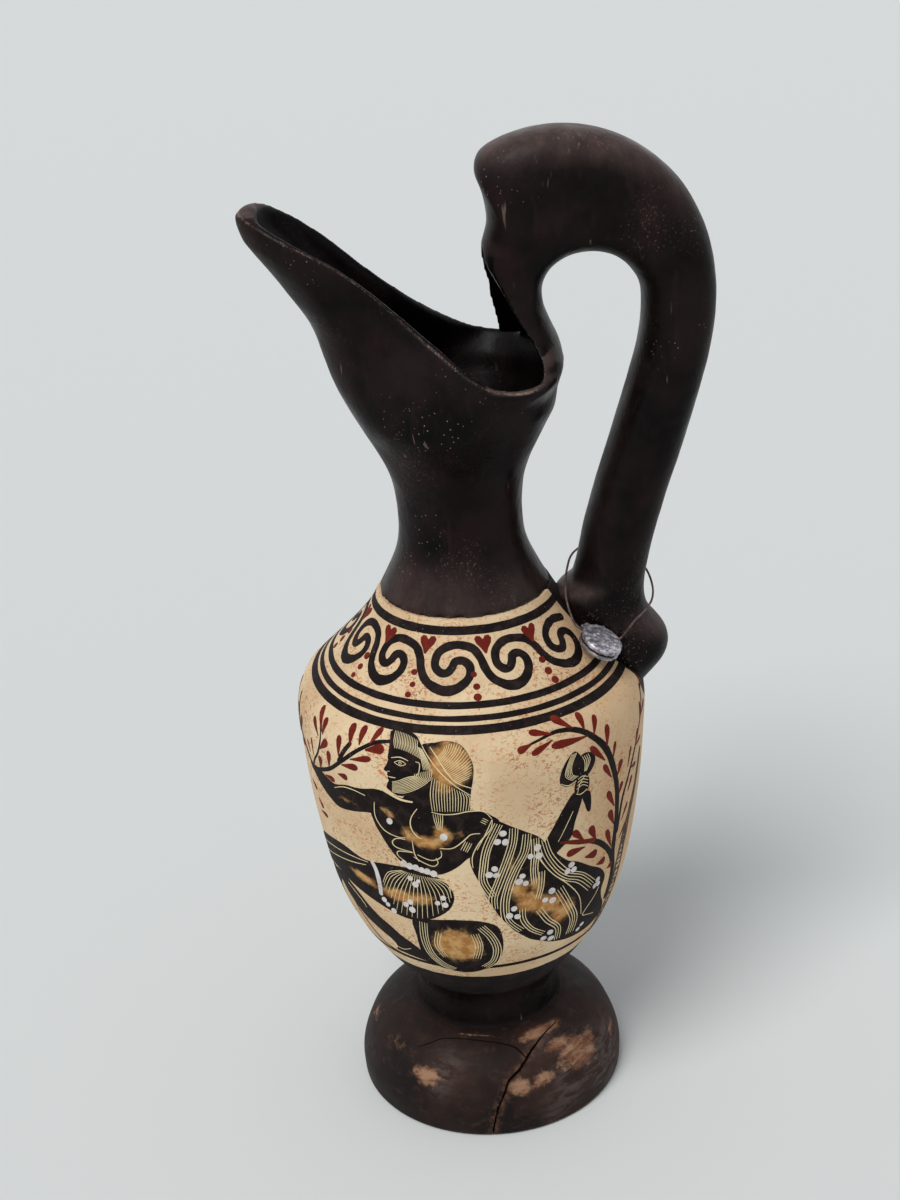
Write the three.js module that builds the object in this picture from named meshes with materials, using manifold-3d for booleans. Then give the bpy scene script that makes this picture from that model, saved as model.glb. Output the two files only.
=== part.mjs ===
import * as THREE from 'three';
import { mergeVertices } from 'three/addons/utils/BufferGeometryUtils.js';
import Module from 'manifold-3d';

// Black-figure beaked jug, in millimetres, +Z up, spout towards -X and handle towards +X.
// The potter threw it in sections, which stand on each other and are luted before firing.
// Heights in the outlines below are above the section's own base unless a comment says otherwise.

// Clearance of a piece to the one that it is luted on
const SEAT_GAP = 0.3;

// Foot, a hollow bell with a flat resting ring
const FOOT_HEIGHT = 33;
const FOOT_RIM_RADIUS = 51.4;
const FOOT_SHOULDER_RADIUS = 45.5;
const FOOT_WALL = 7;
const FOOT_EDGE_ROUND = 1.8;

// Stem between foot and body
const STEM_HEIGHT = 17;
const STEM_BASE_RADIUS = 30.6;
const STEM_WAIST_RADIUS = 27.6;
const STEM_TOP_RADIUS = 29.6;
const STEM_WALL = 8;

// Body with its rounded shoulder
const BODY_HEIGHT = 159;
const BODY_MAX_RADIUS = 64;
const BODY_MAX_HEIGHT = 115.5;
const BODY_WALL = 6;
const BODY_FLOOR = 7;

// Neck
const NECK_HEIGHT = 31;
const NECK_BASE_RADIUS = 31.2;
const NECK_WAIST_RADIUS = 22.4;
const NECK_WALL = 5;

// Mouth: a thrown cup, its rim cut aslant and drawn out to a beak
const CUP_HEIGHT = 50;
const CUP_HALF_WIDTH = 40;
const CUP_BACK_REACH = 39;
const SPOUT_REACH = 69;
const SPOUT_RISE = 58;
const SPOUT_HALF_WIDTH = 18.5;
const MOUTH_WALL = 5;
const LIP_THICKNESS = 4;

// Handle: a thick bow with a broad crest over the mouth. Its reach is from the axis to the outside
// of the bow, its rise from the rim's lowest stretch to the top of the crest.
const HANDLE_REACH = 91.9;
const HANDLE_RISE = 79.9;
const HANDLE_HALF_WIDTH = 14.2;
const CREST_HALF_WIDTH = 16;
const HANDLE_SPREAD_HALF_WIDTH = 25;
const ROOT_HALF_WIDTH = 18;

// Hang tag: two lead discs crimped over the ends of a wire loop
const WIRE_DIAMETER = 0.8;
const SEAL_RADIUS = 7.8;
const SEAL_DISC_THICKNESS = 2;
const SEAL_CRIMP_GAP = 1.4;
const SEAL_EDGE_ROUND = 0.5;
const SEAL_CLEARANCE = 0.9;
const CRIMP_RUN = 1.8;

// Fineness of the facets
const LATHE_SEGMENTS = 48;
const SWEEP_SIDES = 20;
const MOUTH_SIDES = 54;
const WIRE_SIDES = 8;
const WIRE_STEPS = 64;

// Heights of the joints, from the table up
const stemZ = FOOT_HEIGHT;
const bodyZ = stemZ + STEM_HEIGHT;
const neckZ = bodyZ + BODY_HEIGHT;
const mouthZ = neckZ + NECK_HEIGHT;
const rimLowZ = mouthZ + CUP_HEIGHT;
const shoulderHeight = BODY_HEIGHT - BODY_MAX_HEIGHT;

const wasm = await Module();
wasm.setup();

// Solids and meshes

function asSolid(geometry) {
  const bare = geometry.clone();
  bare.deleteAttribute('normal');
  bare.deleteAttribute('uv');
  const merged = mergeVertices(bare, 1e-4);
  const triVerts = dropSlivers(Uint32Array.from(merged.index.array));
  const vertProperties = Float32Array.from(merged.attributes.position.array);
  return new wasm.Manifold(new wasm.Mesh({ numProp: 3, vertProperties, triVerts }));
}

function dropSlivers(index) {
  const kept = [];
  for (let i = 0; i < index.length; i += 3) {
    const [a, b, c] = [index[i], index[i + 1], index[i + 2]];
    if (a !== b && b !== c && c !== a) kept.push(a, b, c);
  }
  return Uint32Array.from(kept);
}

function asGeometry(solid) {
  const mesh = solid.getMesh();
  const geometry = new THREE.BufferGeometry();
  geometry.setAttribute('position', new THREE.BufferAttribute(new Float32Array(mesh.vertProperties), 3));
  geometry.setIndex(new THREE.BufferAttribute(new Uint32Array(mesh.triVerts), 1));
  geometry.computeVertexNormals();
  return geometry;
}

function volumeOf(positions, index) {
  const [a, b, c] = [new THREE.Vector3(), new THREE.Vector3(), new THREE.Vector3()];
  let sum = 0;
  for (let i = 0; i < index.length; i += 3) {
    a.fromArray(positions, 3 * index[i]);
    b.fromArray(positions, 3 * index[i + 1]);
    c.fromArray(positions, 3 * index[i + 2]);
    sum += a.dot(b.cross(c)) / 6;
  }
  return sum;
}

// Rings of points, joined in order; the ends are capped, or the last ring joins the first.
function ringsGeometry(rings, closesOnItself) {
  const count = rings[0].length;
  const points = rings.flat();
  const index = [];
  const spans = closesOnItself ? rings.length : rings.length - 1;
  for (let i = 0; i < spans; i++) {
    const low = i * count;
    const high = ((i + 1) % rings.length) * count;
    for (let j = 0; j < count; j++) {
      const k = (j + 1) % count;
      index.push(low + j, low + k, high + k);
      index.push(low + j, high + k, high + j);
    }
  }
  if (!closesOnItself) {
    const first = points.push(centreOf(rings[0])) - 1;
    const last = points.push(centreOf(rings.at(-1))) - 1;
    const top = (rings.length - 1) * count;
    for (let j = 0; j < count; j++) {
      const k = (j + 1) % count;
      index.push(first, k, j);
      index.push(last, top + j, top + k);
    }
  }
  const positions = points.flatMap((p) => [p.x, p.y, p.z]);
  if (volumeOf(positions, index) < 0) index.reverse();
  const geometry = new THREE.BufferGeometry();
  geometry.setAttribute('position', new THREE.Float32BufferAttribute(positions, 3));
  geometry.setIndex(index);
  return geometry;
}

function centreOf(ring) {
  const sum = new THREE.Vector3();
  for (const p of ring) sum.add(p);
  return sum.divideScalar(ring.length);
}

function mesh(name, solid, colour, roughness, metalness = 0) {
  const material = new THREE.MeshStandardMaterial({ color: colour, roughness, metalness });
  const part = new THREE.Mesh(asGeometry(solid), material);
  part.name = name;
  return part;
}

// Turned sections

const point = (r, z) => new THREE.Vector2(r, z);

function curveThrough(points, steps) {
  return new THREE.SplineCurve(points).getPoints(steps);
}

// The same curve moved sideways by a wall, towards the axis.
function insetCurve(points, wall) {
  return points.map((p, i) => {
    const before = points[Math.max(i - 1, 0)];
    const after = points[Math.min(i + 1, points.length - 1)];
    const along = after.clone().sub(before).normalize();
    return point(p.x - along.y * wall, p.y + along.x * wall);
  });
}

function turned(profile) {
  const geometry = new THREE.LatheGeometry(profile, LATHE_SEGMENTS);
  geometry.rotateX(Math.PI / 2);
  const solid = asSolid(geometry);
  return solid.volume() > 0 ? solid : asSolid(flipped(geometry));
}

function flipped(geometry) {
  const copy = geometry.clone();
  copy.setIndex(Array.from(geometry.index.array).reverse());
  return copy;
}

function footSolid() {
  const edge = FOOT_RIM_RADIUS - FOOT_EDGE_ROUND;
  const inner = FOOT_RIM_RADIUS - FOOT_WALL;
  const bore = STEM_BASE_RADIUS - STEM_WALL;
  const flare = FOOT_RIM_RADIUS - FOOT_SHOULDER_RADIUS;
  const crown = FOOT_SHOULDER_RADIUS - STEM_BASE_RADIUS;
  const outside = curveThrough([
    point(FOOT_RIM_RADIUS, FOOT_EDGE_ROUND),
    point(FOOT_RIM_RADIUS + 0.02 * flare, 0.28 * FOOT_HEIGHT),
    point(FOOT_RIM_RADIUS - 0.32 * flare, 0.5 * FOOT_HEIGHT),
    point(FOOT_SHOULDER_RADIUS, 0.74 * FOOT_HEIGHT),
    point(FOOT_SHOULDER_RADIUS - 0.46 * crown, 0.91 * FOOT_HEIGHT),
    point(STEM_BASE_RADIUS, FOOT_HEIGHT),
  ], 11);
  const inside = curveThrough([
    point(inner, 0),
    point(inner - 0.1 * flare, 0.3 * FOOT_HEIGHT),
    point(inner - 1.17 * flare, 0.58 * FOOT_HEIGHT),
    point((FOOT_SHOULDER_RADIUS - FOOT_WALL + bore) / 2, 0.74 * FOOT_HEIGHT),
    point(bore, 0.9 * FOOT_HEIGHT),
  ], 6);
  const profile = [point(edge, 0), ...outside, point(bore, FOOT_HEIGHT), ...inside.reverse()];
  profile.push(point(edge, 0));
  return turned(profile);
}

function stemSolid() {
  const top = stemZ + STEM_HEIGHT;
  const outside = curveThrough([
    point(STEM_BASE_RADIUS, stemZ),
    point(0.17 * STEM_BASE_RADIUS + 0.83 * STEM_WAIST_RADIUS, stemZ + 0.28 * STEM_HEIGHT),
    point(STEM_WAIST_RADIUS, stemZ + 0.5 * STEM_HEIGHT),
    point(0.2 * STEM_TOP_RADIUS + 0.8 * STEM_WAIST_RADIUS, stemZ + 0.76 * STEM_HEIGHT),
    point(STEM_TOP_RADIUS, top),
  ], 5);
  const bore = (p) => point(p.x - STEM_WALL, p.y);
  return turned([...outside, ...outside.map(bore).reverse(), outside[0].clone()]);
}

// The body's outline as shares of the way out and of the way up: from the stem to the girth, and
// from the girth to the neck.
const bellyShares = [
  [0.186, 0.066], [0.398, 0.154], [0.616, 0.273], [0.791, 0.433], [0.924, 0.675], [0.983, 0.874],
];
const shoulderShares = [
  [0.067, 0.195], [0.22, 0.315], [0.415, 0.457], [0.686, 0.664], [0.875, 0.839],
];
const girthZ = bodyZ + BODY_MAX_HEIGHT;

const bodyOutside = curveThrough([
  point(STEM_TOP_RADIUS, bodyZ),
  ...bellyShares.map(([out, up]) => point(
    STEM_TOP_RADIUS + out * (BODY_MAX_RADIUS - STEM_TOP_RADIUS), bodyZ + up * BODY_MAX_HEIGHT)),
  point(BODY_MAX_RADIUS, girthZ),
  ...shoulderShares.map(([back, up]) => point(
    BODY_MAX_RADIUS - back * (BODY_MAX_RADIUS - NECK_BASE_RADIUS), girthZ + up * shoulderHeight)),
  point(NECK_BASE_RADIUS, neckZ),
], 18);

function bodySolid() {
  const inside = insetCurve(bodyOutside, BODY_WALL)
    .filter((p) => p.y > bodyZ + 1.5 * BODY_FLOOR && p.y < neckZ - BODY_WALL / 3);
  const mouth = point(NECK_BASE_RADIUS - NECK_WALL, neckZ);
  const floor = [
    point(STEM_TOP_RADIUS - BODY_WALL, bodyZ + 1.2 * BODY_FLOOR),
    point(0, bodyZ + BODY_FLOOR),
  ];
  return turned([point(0, bodyZ), ...bodyOutside, mouth, ...inside.reverse(), ...floor]);
}

// The body without its hollow, fuller by a gap all over, to cut what is luted on its shoulder.
function bodyEnvelope(gap) {
  const skin = insetCurve(bodyOutside, -gap);
  return turned([point(0, bodyZ - gap), ...skin, point(0, neckZ + gap)]);
}

const neckShares = [[0.409, 0.22], [0.784, 0.465], [0.966, 0.71]];
const neckOutside = curveThrough([
  point(NECK_BASE_RADIUS, neckZ),
  ...neckShares.map(([back, up]) => point(
    NECK_BASE_RADIUS - back * (NECK_BASE_RADIUS - NECK_WAIST_RADIUS), neckZ + up * NECK_HEIGHT)),
  point(NECK_WAIST_RADIUS, neckZ + NECK_HEIGHT),
], 6);

function neckSolid() {
  const inside = neckOutside.map((p) => point(p.x - NECK_WALL, p.y)).reverse();
  return turned([...neckOutside, ...inside, neckOutside[0].clone()]);
}

// Mouth

// Half of the rim, from the tip of the beak to the back. Each point has the bearing on the cup from
// which its wall rises, its place as shares of the reach, of the beak's half width and of the beak's
// rise, and how far it is on the way from the beak's width to the cup's.
const rimHalf = [
  { bearing: 180, reach: -1, beside: 0, widening: 0, rise: 1 },
  { bearing: 175, reach: -0.962, beside: 0.378, widening: 0, rise: 0.993 },
  { bearing: 169, reach: -0.87, beside: 0.714, widening: 0, rise: 0.955 },
  { bearing: 161, reach: -0.725, beside: 0.957, widening: 0, rise: 0.862 },
  { bearing: 153, reach: -0.58, beside: 1, widening: 0, rise: 0.752 },
  { bearing: 145, reach: -0.435, beside: 1, widening: 0, rise: 0.603 },
  { bearing: 137, reach: -0.304, beside: 1, widening: 0.084, rise: 0.457 },
  { bearing: 127, reach: -0.188, beside: 1, widening: 0.302, rise: 0.324 },
  { bearing: 116, reach: -0.08, beside: 1, widening: 0.581, rise: 0.214 },
  { bearing: 104, reach: 0.038, beside: 1, widening: 0.837, rise: 0.121 },
  { bearing: 90, reach: 0.244, beside: 1, widening: 1, rise: 0.041 },
  { bearing: 74, reach: 0.474, beside: 0.975, widening: 1, rise: 0.005 },
  { bearing: 57, reach: 0.679, beside: 0.863, widening: 1, rise: 0 },
  { bearing: 40, reach: 0.846, beside: 0.65, widening: 1, rise: 0.017 },
  { bearing: 20, reach: 0.954, beside: 0.338, widening: 1, rise: 0.038 },
  { bearing: 0, reach: 1, beside: 0, widening: 1, rise: 0.045 },
].map(({ bearing, reach, beside, widening, rise }) => ({
  bearing,
  x: reach * (reach < 0 ? SPOUT_REACH : CUP_BACK_REACH),
  y: beside * (SPOUT_HALF_WIDTH + widening * (CUP_HALF_WIDTH - SPOUT_HALF_WIDTH)),
  z: rise * SPOUT_RISE,
}));

// The cup's own turned outline up to where its wall leaves the round, as shares of the way from
// the neck's radius to the cup's half width and of the cup's height.
const cupOutline = [[0, 0], [0.051, 0.18], [0.199, 0.35], [0.455, 0.53], [0.739, 0.72]]
  .map(([out, up]) => point(
    NECK_WAIST_RADIUS + out * (CUP_HALF_WIDTH - NECK_WAIST_RADIUS), up * CUP_HEIGHT));
const WALL_LEVELS = 5;
const WALL_LEAN = 0.33;

function wholeRim() {
  const mirrored = rimHalf.slice(1, -1).reverse();
  const flip = (r) => ({ bearing: -r.bearing, x: r.x, y: -r.y, z: r.z });
  return [...rimHalf, ...mirrored.map(flip)];
}

function rimCurves() {
  const rim = wholeRim();
  const places = rim.map((r) => new THREE.Vector3(r.x, r.y, rimLowZ + r.z));
  const bearings = rim.map((r) => {
    const angle = THREE.MathUtils.degToRad(r.bearing);
    return new THREE.Vector3(Math.cos(angle), Math.sin(angle), 0);
  });
  return {
    place: new THREE.CatmullRomCurve3(places, true),
    bearing: new THREE.CatmullRomCurve3(bearings, true),
  };
}

// The outer wall of the mouth as rings of points from the neck up to the rim.
function mouthRings() {
  const curves = rimCurves();
  const cup = curveThrough(cupOutline, 5);
  const rings = Array.from({ length: cup.length + WALL_LEVELS }, () => []);
  for (let j = 0; j < MOUTH_SIDES; j++) {
    const rim = curves.place.getPoint(j / MOUTH_SIDES);
    const out = curves.bearing.getPoint(j / MOUTH_SIDES).normalize();
    const onCup = (p) => out.clone().multiplyScalar(p.x).setZ(mouthZ + p.y);
    cup.forEach((p, i) => rings[i].push(onCup(p)));
    const start = onCup(cup.at(-1));
    const rise = 0.5 * (rim.z - start.z);
    const bend = start.clone().addScaledVector(out, WALL_LEAN * rise).setZ(start.z + rise);
    const wall = new THREE.QuadraticBezierCurve3(start, bend, rim);
    for (let i = 1; i <= WALL_LEVELS; i++) {
      rings[cup.length + i - 1].push(wall.getPoint(i / WALL_LEVELS));
    }
  }
  return rings;
}

// Rings moved along the surface's own normal, outwards where the distance is positive.
function offsetRings(rings, distanceAt, closesOnItself = false) {
  const count = rings.length;
  const before = (i) => (closesOnItself ? (i + count - 1) % count : Math.max(i - 1, 0));
  const after = (i) => (closesOnItself ? (i + 1) % count : Math.min(i + 1, count - 1));
  return rings.map((ring, i) => ring.map((p, j) => {
    const low = rings[before(i)][j];
    const high = rings[after(i)][j];
    const left = ring[(j + ring.length - 1) % ring.length];
    const right = ring[(j + 1) % ring.length];
    const up = high.clone().sub(low);
    const across = right.clone().sub(left);
    const normal = up.cross(across).normalize();
    return p.clone().addScaledVector(normal, distanceAt(i));
  }));
}

// The whole wall as rings, up the outside, over the lip and down the inside.
function mouthShell() {
  const outer = mouthRings();
  const top = outer.length - 1;
  const wallAt = (i) => MOUTH_WALL + (LIP_THICKNESS - MOUTH_WALL) * (i / top);
  const inner = offsetRings(outer, (i) => -wallAt(i));
  const base = inner[0].map((p) => p.clone().setZ(mouthZ));
  const lip = [0.25, 0.5, 0.75].map((share) => outer[top].map((p, j) => {
    const up = p.clone().sub(outer[top - 1][j]).normalize();
    const height = 0.5 * LIP_THICKNESS * Math.sin(Math.PI * share);
    return p.clone().lerp(inner[top][j], share).addScaledVector(up, height);
  }));
  return [...outer, ...lip, ...inner.slice(1).reverse(), base];
}

function mouthSolid() {
  return asSolid(ringsGeometry(mouthShell(), true));
}

// The mouth fuller by a gap and with its hollow filled level with the rim.
function mouthEnvelope(gap) {
  const wall = offsetRings(mouthShell(), () => gap, true);
  const skin = offsetRings(mouthRings(), () => gap);
  const backRise = rimHalf.at(-1).z;
  const apex = new THREE.Vector3(0.4 * CUP_BACK_REACH, 0, rimLowZ + backRise + gap);
  const raised = skin.at(-1).map((p) => p.clone().setZ(p.z + LIP_THICKNESS / 2 + gap));
  const lid = raised.map((p) => p.clone().lerp(apex, 0.97));
  const filled = asSolid(ringsGeometry([...skin, raised, lid], false));
  return filled.add(asSolid(ringsGeometry(wall, true)));
}

// Handle

// Its foot on the wad, just under the neck's base
const handleBaseZ = neckZ - 0.023 * shoulderHeight;

// How high a station stands: -1 at the handle's foot, 0 at the rim's lowest stretch and 1 at the
// top of the crest.
function liftedZ(lift) {
  return rimLowZ + lift * (lift < 0 ? rimLowZ - handleBaseZ : HANDLE_RISE);
}

// Stations of the bow from the shoulder over the crest to the cup: a point on the side that faces
// the gap and its partner on the outer side, each as a share of the reach and a lift, and half the
// width. The limb's reach is the handle's own, and that of the crest and the front is the cup's.
const limb = HANDLE_HALF_WIDTH;
const crest = CREST_HALF_WIDTH;
const spread = HANDLE_SPREAD_HALF_WIDTH;
const limbStations = [
  { gap: [0.421, -1], out: [0.719, -1], half: 1.035 * limb, square: 2.1 },
  { gap: [0.446, -0.909], out: [0.726, -0.957], half: 1.007 * limb, square: 2.1 },
  { gap: [0.479, -0.756], out: [0.748, -0.835], half: 0.986 * limb, square: 2.2 },
  { gap: [0.53, -0.555], out: [0.8, -0.64], half: 0.979 * limb, square: 2.2 },
  { gap: [0.594, -0.341], out: [0.864, -0.427], half: 0.986 * limb, square: 2.2 },
  { gap: [0.655, -0.134], out: [0.925, -0.207], half: limb, square: 2.3 },
  { gap: [0.7, 0.044], out: [0.975, 0], half: 1.014 * limb, square: 2.3 },
  { gap: [0.718, 0.188], out: [1, 0.194], half: 1.028 * limb, square: 2.3 },
  { gap: [0.714, 0.3], out: [0.992, 0.394], half: 1.049 * limb, square: 2.4 },
  { gap: [0.684, 0.368], out: [0.949, 0.582], half: 1.07 * limb, square: 2.4 },
  { gap: [0.638, 0.426], out: [0.865, 0.751], half: 1.092 * limb, square: 2.5 },
  { gap: [0.581, 0.459], out: [0.74, 0.886], half: 1.106 * limb, square: 2.6 },
];
const crestStations = [
  { gap: [1.231, 0.469], out: [1.41, 0.969], half: crest, square: 2.6 },
  { gap: [1.103, 0.463], out: [1.064, 1], half: crest, square: 2.7 },
  { gap: [0.995, 0.443], out: [0.756, 0.994], half: crest, square: 2.7 },
  { gap: [0.913, 0.411], out: [0.487, 0.96], half: 0.963 * crest, square: 2.6 },
  { gap: [0.862, 0.375], out: [0.323, 0.909], half: 0.9 * crest, square: 2.5 },
  { gap: [0.836, 0.34], out: [0.279, 0.834], half: 0.863 * crest, square: 2.4 },
  { gap: [0.828, 0.308], out: [0.341, 0.732], half: 0.838 * crest, square: 2.4 },
  { gap: [0.833, 0.275], out: [0.367, 0.62], half: 0.93 * limb, square: 2.4 },
  { gap: [0.846, 0.243], out: [0.305, 0.513], half: 0.958 * limb, square: 2.4 },
  { gap: [0.872, 0.208], out: [0.297, 0.408], half: limb, square: 2.4 },
  { gap: [0.908, 0.166], out: [0.333, 0.307], half: 1.099 * limb, square: 2.3 },
  { gap: [0.949, 0.12], out: [0.39, 0.207], half: 1.268 * limb, square: 2.2 },
  { gap: [0.979, 0.068], out: [0.451, 0.113], half: 0.88 * spread, square: 2.1 },
  { gap: [0.979, 0.008], out: [0.497, 0.019], half: spread, square: 2 },
  { gap: [0.908, -0.049], out: [0.526, -0.049], half: 0.96 * spread, square: 2 },
];

function placedStation(station, reach) {
  const place = ([share, lift]) => new THREE.Vector3(share * reach, 0, liftedZ(lift));
  return { ...station, gap: place(station.gap), out: place(station.out) };
}

const handleStations = [
  ...limbStations.map((station) => placedStation(station, HANDLE_REACH)),
  ...crestStations.map((station) => placedStation(station, CUP_BACK_REACH)),
];
const HANDLE_STEPS = 38;

// A flat ring between two points, squarer than an ellipse where the exponent is over 2.
function sectionRing(from, to, half, square, sides) {
  const centre = from.clone().add(to).multiplyScalar(0.5);
  const reach = to.clone().sub(from).multiplyScalar(0.5);
  const bulge = (value) => Math.sign(value) * Math.abs(value) ** (2 / square);
  return Array.from({ length: sides }, (_, j) => {
    const angle = (2 * Math.PI * j) / sides;
    const across = new THREE.Vector3(0, half * bulge(Math.sin(angle)), 0);
    return centre.clone().addScaledVector(reach, bulge(Math.cos(angle))).add(across);
  });
}

function sweptBetweenRails(stations, steps) {
  const gapRail = new THREE.CatmullRomCurve3(stations.map((s) => s.gap), false, 'centripetal');
  const outRail = new THREE.CatmullRomCurve3(stations.map((s) => s.out), false, 'centripetal');
  const sizes = new THREE.CatmullRomCurve3(
    stations.map((s, i) => new THREE.Vector3(s.half, s.square, i)), false, 'centripetal');
  const rings = [];
  for (let i = 0; i <= steps; i++) {
    const size = sizes.getPoint(i / steps);
    const ring = sectionRing(
      gapRail.getPoint(i / steps), outRail.getPoint(i / steps), size.x, size.y, SWEEP_SIDES);
    rings.push(ring);
  }
  return asSolid(ringsGeometry(rings, false));
}

// The channel that carries the mouth's hollow up the front of the handle, as level sections from
// its open front to its back wall: the wall's place as a share of the cup's reach, and half the
// width as a share of the cup's.
const channelSections = [
  { lift: -0.049, back: 0.795, half: 0.55 },
  { lift: 0.013, back: 0.821, half: 0.512 },
  { lift: 0.088, back: 0.777, half: 0.4 },
  { lift: 0.175, back: 0.674, half: 0.275 },
  { lift: 0.275, back: 0.559, half: 0.225 },
  { lift: 0.375, back: 0.462, half: 0.2 },
  { lift: 0.463, back: 0.385, half: 0.16 },
  { lift: 0.526, back: 0.295, half: 0.1 },
];

function channelSolid() {
  const front = -CUP_HALF_WIDTH / 2;
  const rings = channelSections.map((s) => sectionRing(
    new THREE.Vector3(front, 0, liftedZ(s.lift)),
    new THREE.Vector3(s.back * CUP_BACK_REACH, 0, liftedZ(s.lift)),
    s.half * CUP_HALF_WIDTH, 2.6, 24));
  return asSolid(ringsGeometry(rings, false));
}

function handleSolid() {
  return sweptBetweenRails(handleStations, HANDLE_STEPS)
    .subtract(mouthEnvelope(SEAT_GAP))
    .subtract(channelSolid());
}

// The wad of clay that carries the handle's lower end on the shoulder, as level sections: how far
// down the shoulder, its back and front as shares of the handle's reach, and its width as a share
// of its widest.
const rootSections = [
  { drop: 1.08, back: 0.566, front: 0.664, width: 0.278 },
  { drop: 0.989, back: 0.544, front: 0.703, width: 0.556 },
  { drop: 0.897, back: 0.511, front: 0.731, width: 0.778 },
  { drop: 0.805, back: 0.49, front: 0.768, width: 0.9 },
  { drop: 0.713, back: 0.468, front: 0.797, width: 0.967 },
  { drop: 0.621, back: 0.435, front: 0.807, width: 1 },
  { drop: 0.529, back: 0.413, front: 0.798, width: 1 },
  { drop: 0.437, back: 0.392, front: 0.768, width: 0.978 },
  { drop: 0.345, back: 0.37, front: 0.734, width: 0.933 },
  { drop: 0.253, back: 0.354, front: 0.718, width: 0.9 },
  { drop: 0.161, back: 0.348, front: 0.713, width: 0.872 },
  { drop: 0.092, back: 0.37, front: 0.715, width: 0.844 },
];

function rootSolid() {
  const rings = rootSections.map((s) => {
    const z = neckZ - s.drop * shoulderHeight;
    const back = new THREE.Vector3(s.back * HANDLE_REACH, 0, z);
    const front = new THREE.Vector3(s.front * HANDLE_REACH, 0, z);
    return sectionRing(back, front, s.width * ROOT_HALF_WIDTH, 2.1, SWEEP_SIDES);
  });
  const { gap, out, half, square } = handleStations[0];
  rings.push(sectionRing(gap, out, half, square, SWEEP_SIDES));
  return asSolid(ringsGeometry(rings, false)).subtract(bodyEnvelope(SEAT_GAP));
}

// Hang tag

// The tag's places are shares of the handle's reach and half width, with heights from the neck's
// base in shares of the shoulder's height. The seal leans on the shoulder, and is less steep.
const shoulderOutside = bodyOutside.filter((p) => p.y >= girthZ);

function placedSeal() {
  const foot = new THREE.Vector3(0.455 * HANDLE_REACH, -1.6 * HANDLE_HALF_WIDTH, 0);
  const radius = foot.length();
  const i = shoulderOutside.findIndex((p) => p.x <= radius);
  const [low, high] = [shoulderOutside[i - 1], shoulderOutside[i]];
  const out = foot.clone().divideScalar(radius);
  foot.setZ(THREE.MathUtils.mapLinear(radius, low.x, high.x, low.y, high.y));
  const slope = out.multiplyScalar(high.y - low.y).setZ(low.x - high.x).normalize();
  const normal = slope.clone().add(new THREE.Vector3(0, 0, 0.57)).normalize();
  const tilt = slope.angleTo(normal);
  const halfThickness = SEAL_CRIMP_GAP / 2 + SEAL_DISC_THICKNESS;
  const stand = halfThickness * Math.cos(tilt) + SEAL_RADIUS * Math.sin(tilt) + SEAL_CLEARANCE;
  return { centre: foot.addScaledVector(slope, stand), normal };
}

const { centre: sealCentre, normal: sealNormal } = placedSeal();

function sealDisc(side) {
  const low = SEAL_CRIMP_GAP / 2;
  const high = low + SEAL_DISC_THICKNESS;
  const profile = [
    point(0, low),
    point(SEAL_RADIUS, low),
    point(SEAL_RADIUS, high - SEAL_EDGE_ROUND),
    point(SEAL_RADIUS - SEAL_EDGE_ROUND, high),
    point(0, high),
  ];
  const geometry = new THREE.LatheGeometry(profile, 32);
  geometry.rotateX(Math.PI / 2);
  const towards = sealNormal.clone().multiplyScalar(side);
  const up = new THREE.Vector3(0, 0, 1);
  geometry.applyQuaternion(new THREE.Quaternion().setFromUnitVectors(up, towards));
  geometry.translate(sealCentre.x, sealCentre.y, sealCentre.z);
  const solid = asSolid(geometry);
  return solid.volume() > 0 ? solid : asSolid(flipped(geometry));
}

// Where the wire leaves the crimp, towards a point outside it.
function crimpExit(towards, distance) {
  const way = towards.clone().sub(sealCentre);
  way.addScaledVector(sealNormal, -way.dot(sealNormal)).normalize();
  return sealCentre.clone().addScaledVector(way, distance);
}

const wireLoop = [
  [0.407, -1.38, -0.271],
  [0.383, -0.958, -0.11],
  [0.39, -0.493, -0.009],
  [0.409, 0.035, 0.051],
  [0.445, 0.634, 0.092],
  [0.511, 1.042, 0.106],
  [0.598, 1.155, 0.069],
  [0.681, 0.944, 0],
  [0.732, 0.493, -0.078],
  [0.746, 0, -0.17],
  [0.731, -0.493, -0.221],
  [0.692, -0.958, -0.244],
  [0.638, -1.38, -0.271],
].map(([x, y, z]) => new THREE.Vector3(
  x * HANDLE_REACH, y * HANDLE_HALF_WIDTH, neckZ + z * shoulderHeight));

function wireSolid() {
  const run = [0.13, 0.3, 0.65, 1].map((share) => share * SEAL_RADIUS);
  run.push(SEAL_RADIUS + CRIMP_RUN);
  const left = run.map((distance) => crimpExit(wireLoop[0], distance));
  const right = run.map((distance) => crimpExit(wireLoop.at(-1), distance));
  const points = [...left, ...wireLoop, ...right.reverse()];
  const path = new THREE.CatmullRomCurve3(points, false, 'centripetal');
  const section = new THREE.Shape();
  section.absarc(0, 0, WIRE_DIAMETER / 2, 0, 2 * Math.PI);
  const geometry = new THREE.ExtrudeGeometry(section, {
    steps: WIRE_STEPS, extrudePath: path, curveSegments: WIRE_SIDES / 2,
  });
  const solid = asSolid(geometry);
  return solid.volume() > 0 ? solid : asSolid(flipped(geometry));
}

// Colours of the fired and painted surfaces
const BLACK_SLIP = '#241b19';
const FOOT_SLIP = '#3a2a25';
const CREAM_SLIP = '#e3cba6';
const LEAD = '#8f9196';
const COPPER = '#6b4433';

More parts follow.
